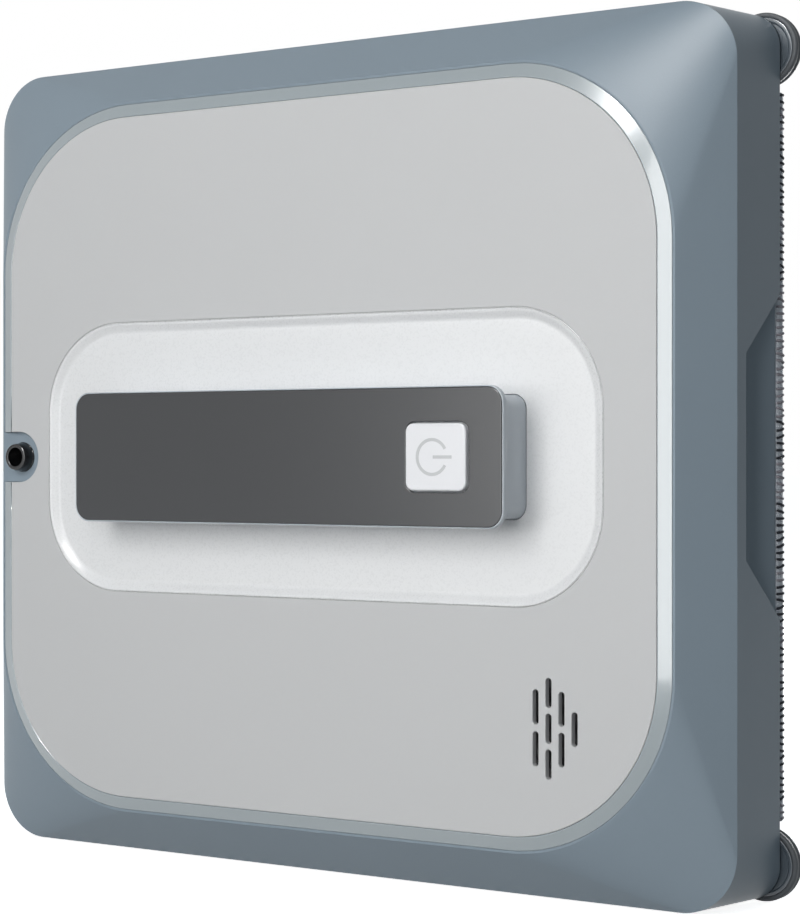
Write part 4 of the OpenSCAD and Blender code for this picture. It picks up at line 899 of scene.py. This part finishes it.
def makeSeal():
    # a rounded lip rising from a flat foot, the same on both sides, turned round the port
    r, wide, low, high = (seal[key] for key in ("radius", "width", "low", "high"))
    lip, middle = seal["lip"], r - wide / 2
    side = [(wide / 2, high), (wide / 2, high - seal["foot"]),
            (wide / 2 - seal["neck"], high - seal["shoulder"]),
            (wide / 2 - seal["waist"], low + seal["lipRise"])]
    section = [(middle - x, h) for x, h in side]
    section += arcSection((middle, low + lip), lip, 180, 360, 8).tolist()
    section += [(middle + x, h) for x, h in side[::-1]]
    piece = solidFromGrid("suctionLip", turned(section, 128), ring=True)
    dress(piece, finish["seal"], stands=["suction_seal"])


pinHead = {
    "shank": [(1.6, 8.6), (1.6, 0.9)],
    "head": [(3.0, 0.9), (3.0, 0.6), (2.6, 0.36), (1.7, 0.3)],
    "socket": [(1.35, 0.34), (1.3, 0.8), (0.05, 0.8)],
    "steps": 36, "bevel": 0.08,
}


def makePinHeads():
    # each pin's radius and height turned round its roller's axle: a shank, a low dome and a round socket
    section = pinHead["shank"] + pinHead["head"] + pinHead["socket"]
    rows, cols = len(section), pinHead["steps"]
    grids = [turned(section, cols, place) for place in roller["places"].values()]
    first = np.arange(len(grids))[:, None] * rows * cols
    faces = (first[..., None] + quads(rows, cols)[None]).reshape(-1, 4).tolist()
    faces += (first + np.arange(cols)).tolist() + (first + (rows - 1) * cols + np.arange(cols)).tolist()
    mesh = bpy.data.meshes.new("rollerPins")
    mesh.from_pydata(stand(np.array(grids)).reshape(-1, 3).tolist(), [], faces)
    piece = cleanPiece("rollerPins", mesh)
    soften(piece, pinHead["bevel"], 2, 40)
    dress(piece, finish["steel"], stands=["roller_pins"])


edgeSpring = {"turns": 4, "wire": 0.3, "radius": 4.2, "low": 10.9, "high": 16.0, "keep": 0.7}


def makeSprings():
    # a round wire carried up a helix: (radius cos t, radius sin t), rising evenly with t
    wire, low, high, turns = (edgeSpring[key] for key in ("wire", "low", "high", "turns"))
    t = np.linspace(0, 2 * math.pi * turns, turns * 24 + 1)
    a = np.linspace(0, 2 * math.pi, 8, endpoint=False)
    reach = edgeSpring["radius"] + wire * np.cos(a)[None]
    rise = (low + wire + (high - low - 2 * wire) * t / t[-1])[:, None] + wire * np.sin(a)[None]
    coil = np.stack([reach * np.cos(t)[:, None], reach * np.sin(t)[:, None], rise], -1)
    for key, place in roller["places"].items():
        x, y = np.sign(place) * pad["pinPlace"]
        piece = solidFromGrid("edgeSpring_" + key, coil + (x, y, 0))
        dress(piece, finish["steel"], stands=["edge_springs"])
        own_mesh(piece)


# piece: its CAD node, the width of its rounded edges, finish and slot
softPieces = {
    "basePlate": ("base_plate", 0.3, "base", "base_plastic"),
    "suctionGrille": ("suction_grille", 0.2, "base", "base_plastic"),
    "upperBelt": ("upper_belt", 0.25, "belt", "belt_rubber"),
    "lowerBelt": ("lower_belt", 0.25, "belt", "belt_rubber"),
}

makeSeal()
makePinHeads()
makeSprings()
for name, (node, width, key, slot) in softPieces.items():
    dress(softCopy(name, node, width), finish[key], stands=[node])
print("back made")


# the CAD nodes that keep their shape

plainNodes = {
    "icon": ["power_icon"],
    "black": ["speaker", "board_chips", "edge_switches", "button_dome"],
    "brass": ["inlet_contact", "upper_pinion", "lower_pinion"],
    "hook": ["hook_strips"],
    "inner": ["fan_housing", "fan_lid", "fan_impeller", "battery_tray", "upper_gearbox", "lower_gearbox"],
    "can": ["fan_motor", "upper_motor", "lower_motor"],
    "steel": ["fan_shaft", "wheel_axles", "case_screws"],
    "wrap": ["battery_cells"],
    "board": ["switch_board", "main_board"],
    "gear": ["upper_gear", "lower_gear", "edge_pin_a", "edge_pin_b", "edge_pin_c", "edge_pin_d"],
    "wheel": ["upper_drive_wheel", "lower_drive_wheel", "upper_idler_wheel", "lower_idler_wheel"],
}
for key, names in plainNodes.items():
    for node in names:
        slots = nodes[node].material_slots
        if not slots:
            nodes[node].data.materials.append(finish[key])
        for place in slots:
            place.material = finish[key]
print("nodes dressed")


# floor and backdrop

paper = {"drop": 0.0003, "reach": 14.0, "lines": 25, "grain": 60, "glow": 0.86,
         "colours": ((0.90, 0.90, 0.90, 1), (0.93, 0.93, 0.93, 1)), "unseen": (0.30, 0.30, 0.30, 1)}


def paperMaterial():
    # white to the camera and reflections, and dim to other rays, so that it throws little light back
    material = bpy.data.materials.new("paperFloor")
    material.use_nodes = True
    tree = material.node_tree
    tree.nodes.clear()
    link = tree.links.new
    place = tree.nodes.new("ShaderNodeTexCoord")
    fibre = tree.nodes.new("ShaderNodeTexNoise")
    fibre.inputs["Scale"].default_value = paper["grain"]
    tint = tree.nodes.new("ShaderNodeMix")
    tint.data_type = "RGBA"
    tint.inputs["A"].default_value, tint.inputs["B"].default_value = paper["colours"]
    sheet = tree.nodes.new("ShaderNodeBsdfDiffuse")
    glow = tree.nodes.new("ShaderNodeEmission")
    glow.inputs["Strength"].default_value = paper["glow"]
    bright = tree.nodes.new("ShaderNodeAddShader")
    dim = tree.nodes.new("ShaderNodeBsdfDiffuse")
    dim.inputs["Color"].default_value = paper["unseen"]
    mix = tree.nodes.new("ShaderNodeMixShader")
    out = tree.nodes.new("ShaderNodeOutputMaterial")
    link(place.outputs["Object"], fibre.inputs["Vector"])
    link(fibre.outputs["Fac"], tint.inputs["Factor"])
    link(tint.outputs["Result"], sheet.inputs["Color"])
    link(sheet.outputs[0], bright.inputs[0])
    link(glow.outputs[0], bright.inputs[1])
    link(rayKinds(tree, "Is Camera Ray", "Is Glossy Ray"), mix.inputs[0])
    link(dim.outputs[0], mix.inputs[1])
    link(bright.outputs[0], mix.inputs[2])
    link(mix.outputs[0], out.inputs[0])
    return material


def addStage():
    # flat grid, its lines closer together near the object: x and y grow as the cube of the step
    lines = paper["lines"]
    run = np.linspace(-1, 1, lines) ** 3 * paper["reach"]
    level = np.full((lines, lines), cadBox[0][2] - paper["drop"])
    points = np.stack(np.broadcast_arrays(run[None, :], run[:, None], level), -1)
    mesh = bpy.data.meshes.new("floor")
    mesh.from_pydata(points.reshape(-1, 3).tolist(), [], quads(lines, lines, False).tolist())
    floor = bpy.data.objects.new("floor", mesh)
    bpy.context.scene.collection.objects.link(floor)
    mesh.materials.append(paperMaterial())


addStage()
bpy.context.scene.view_settings.view_transform = "Standard"

print("cad box", [[round(c * 1000, 1) for c in corner] for corner in cadBox])
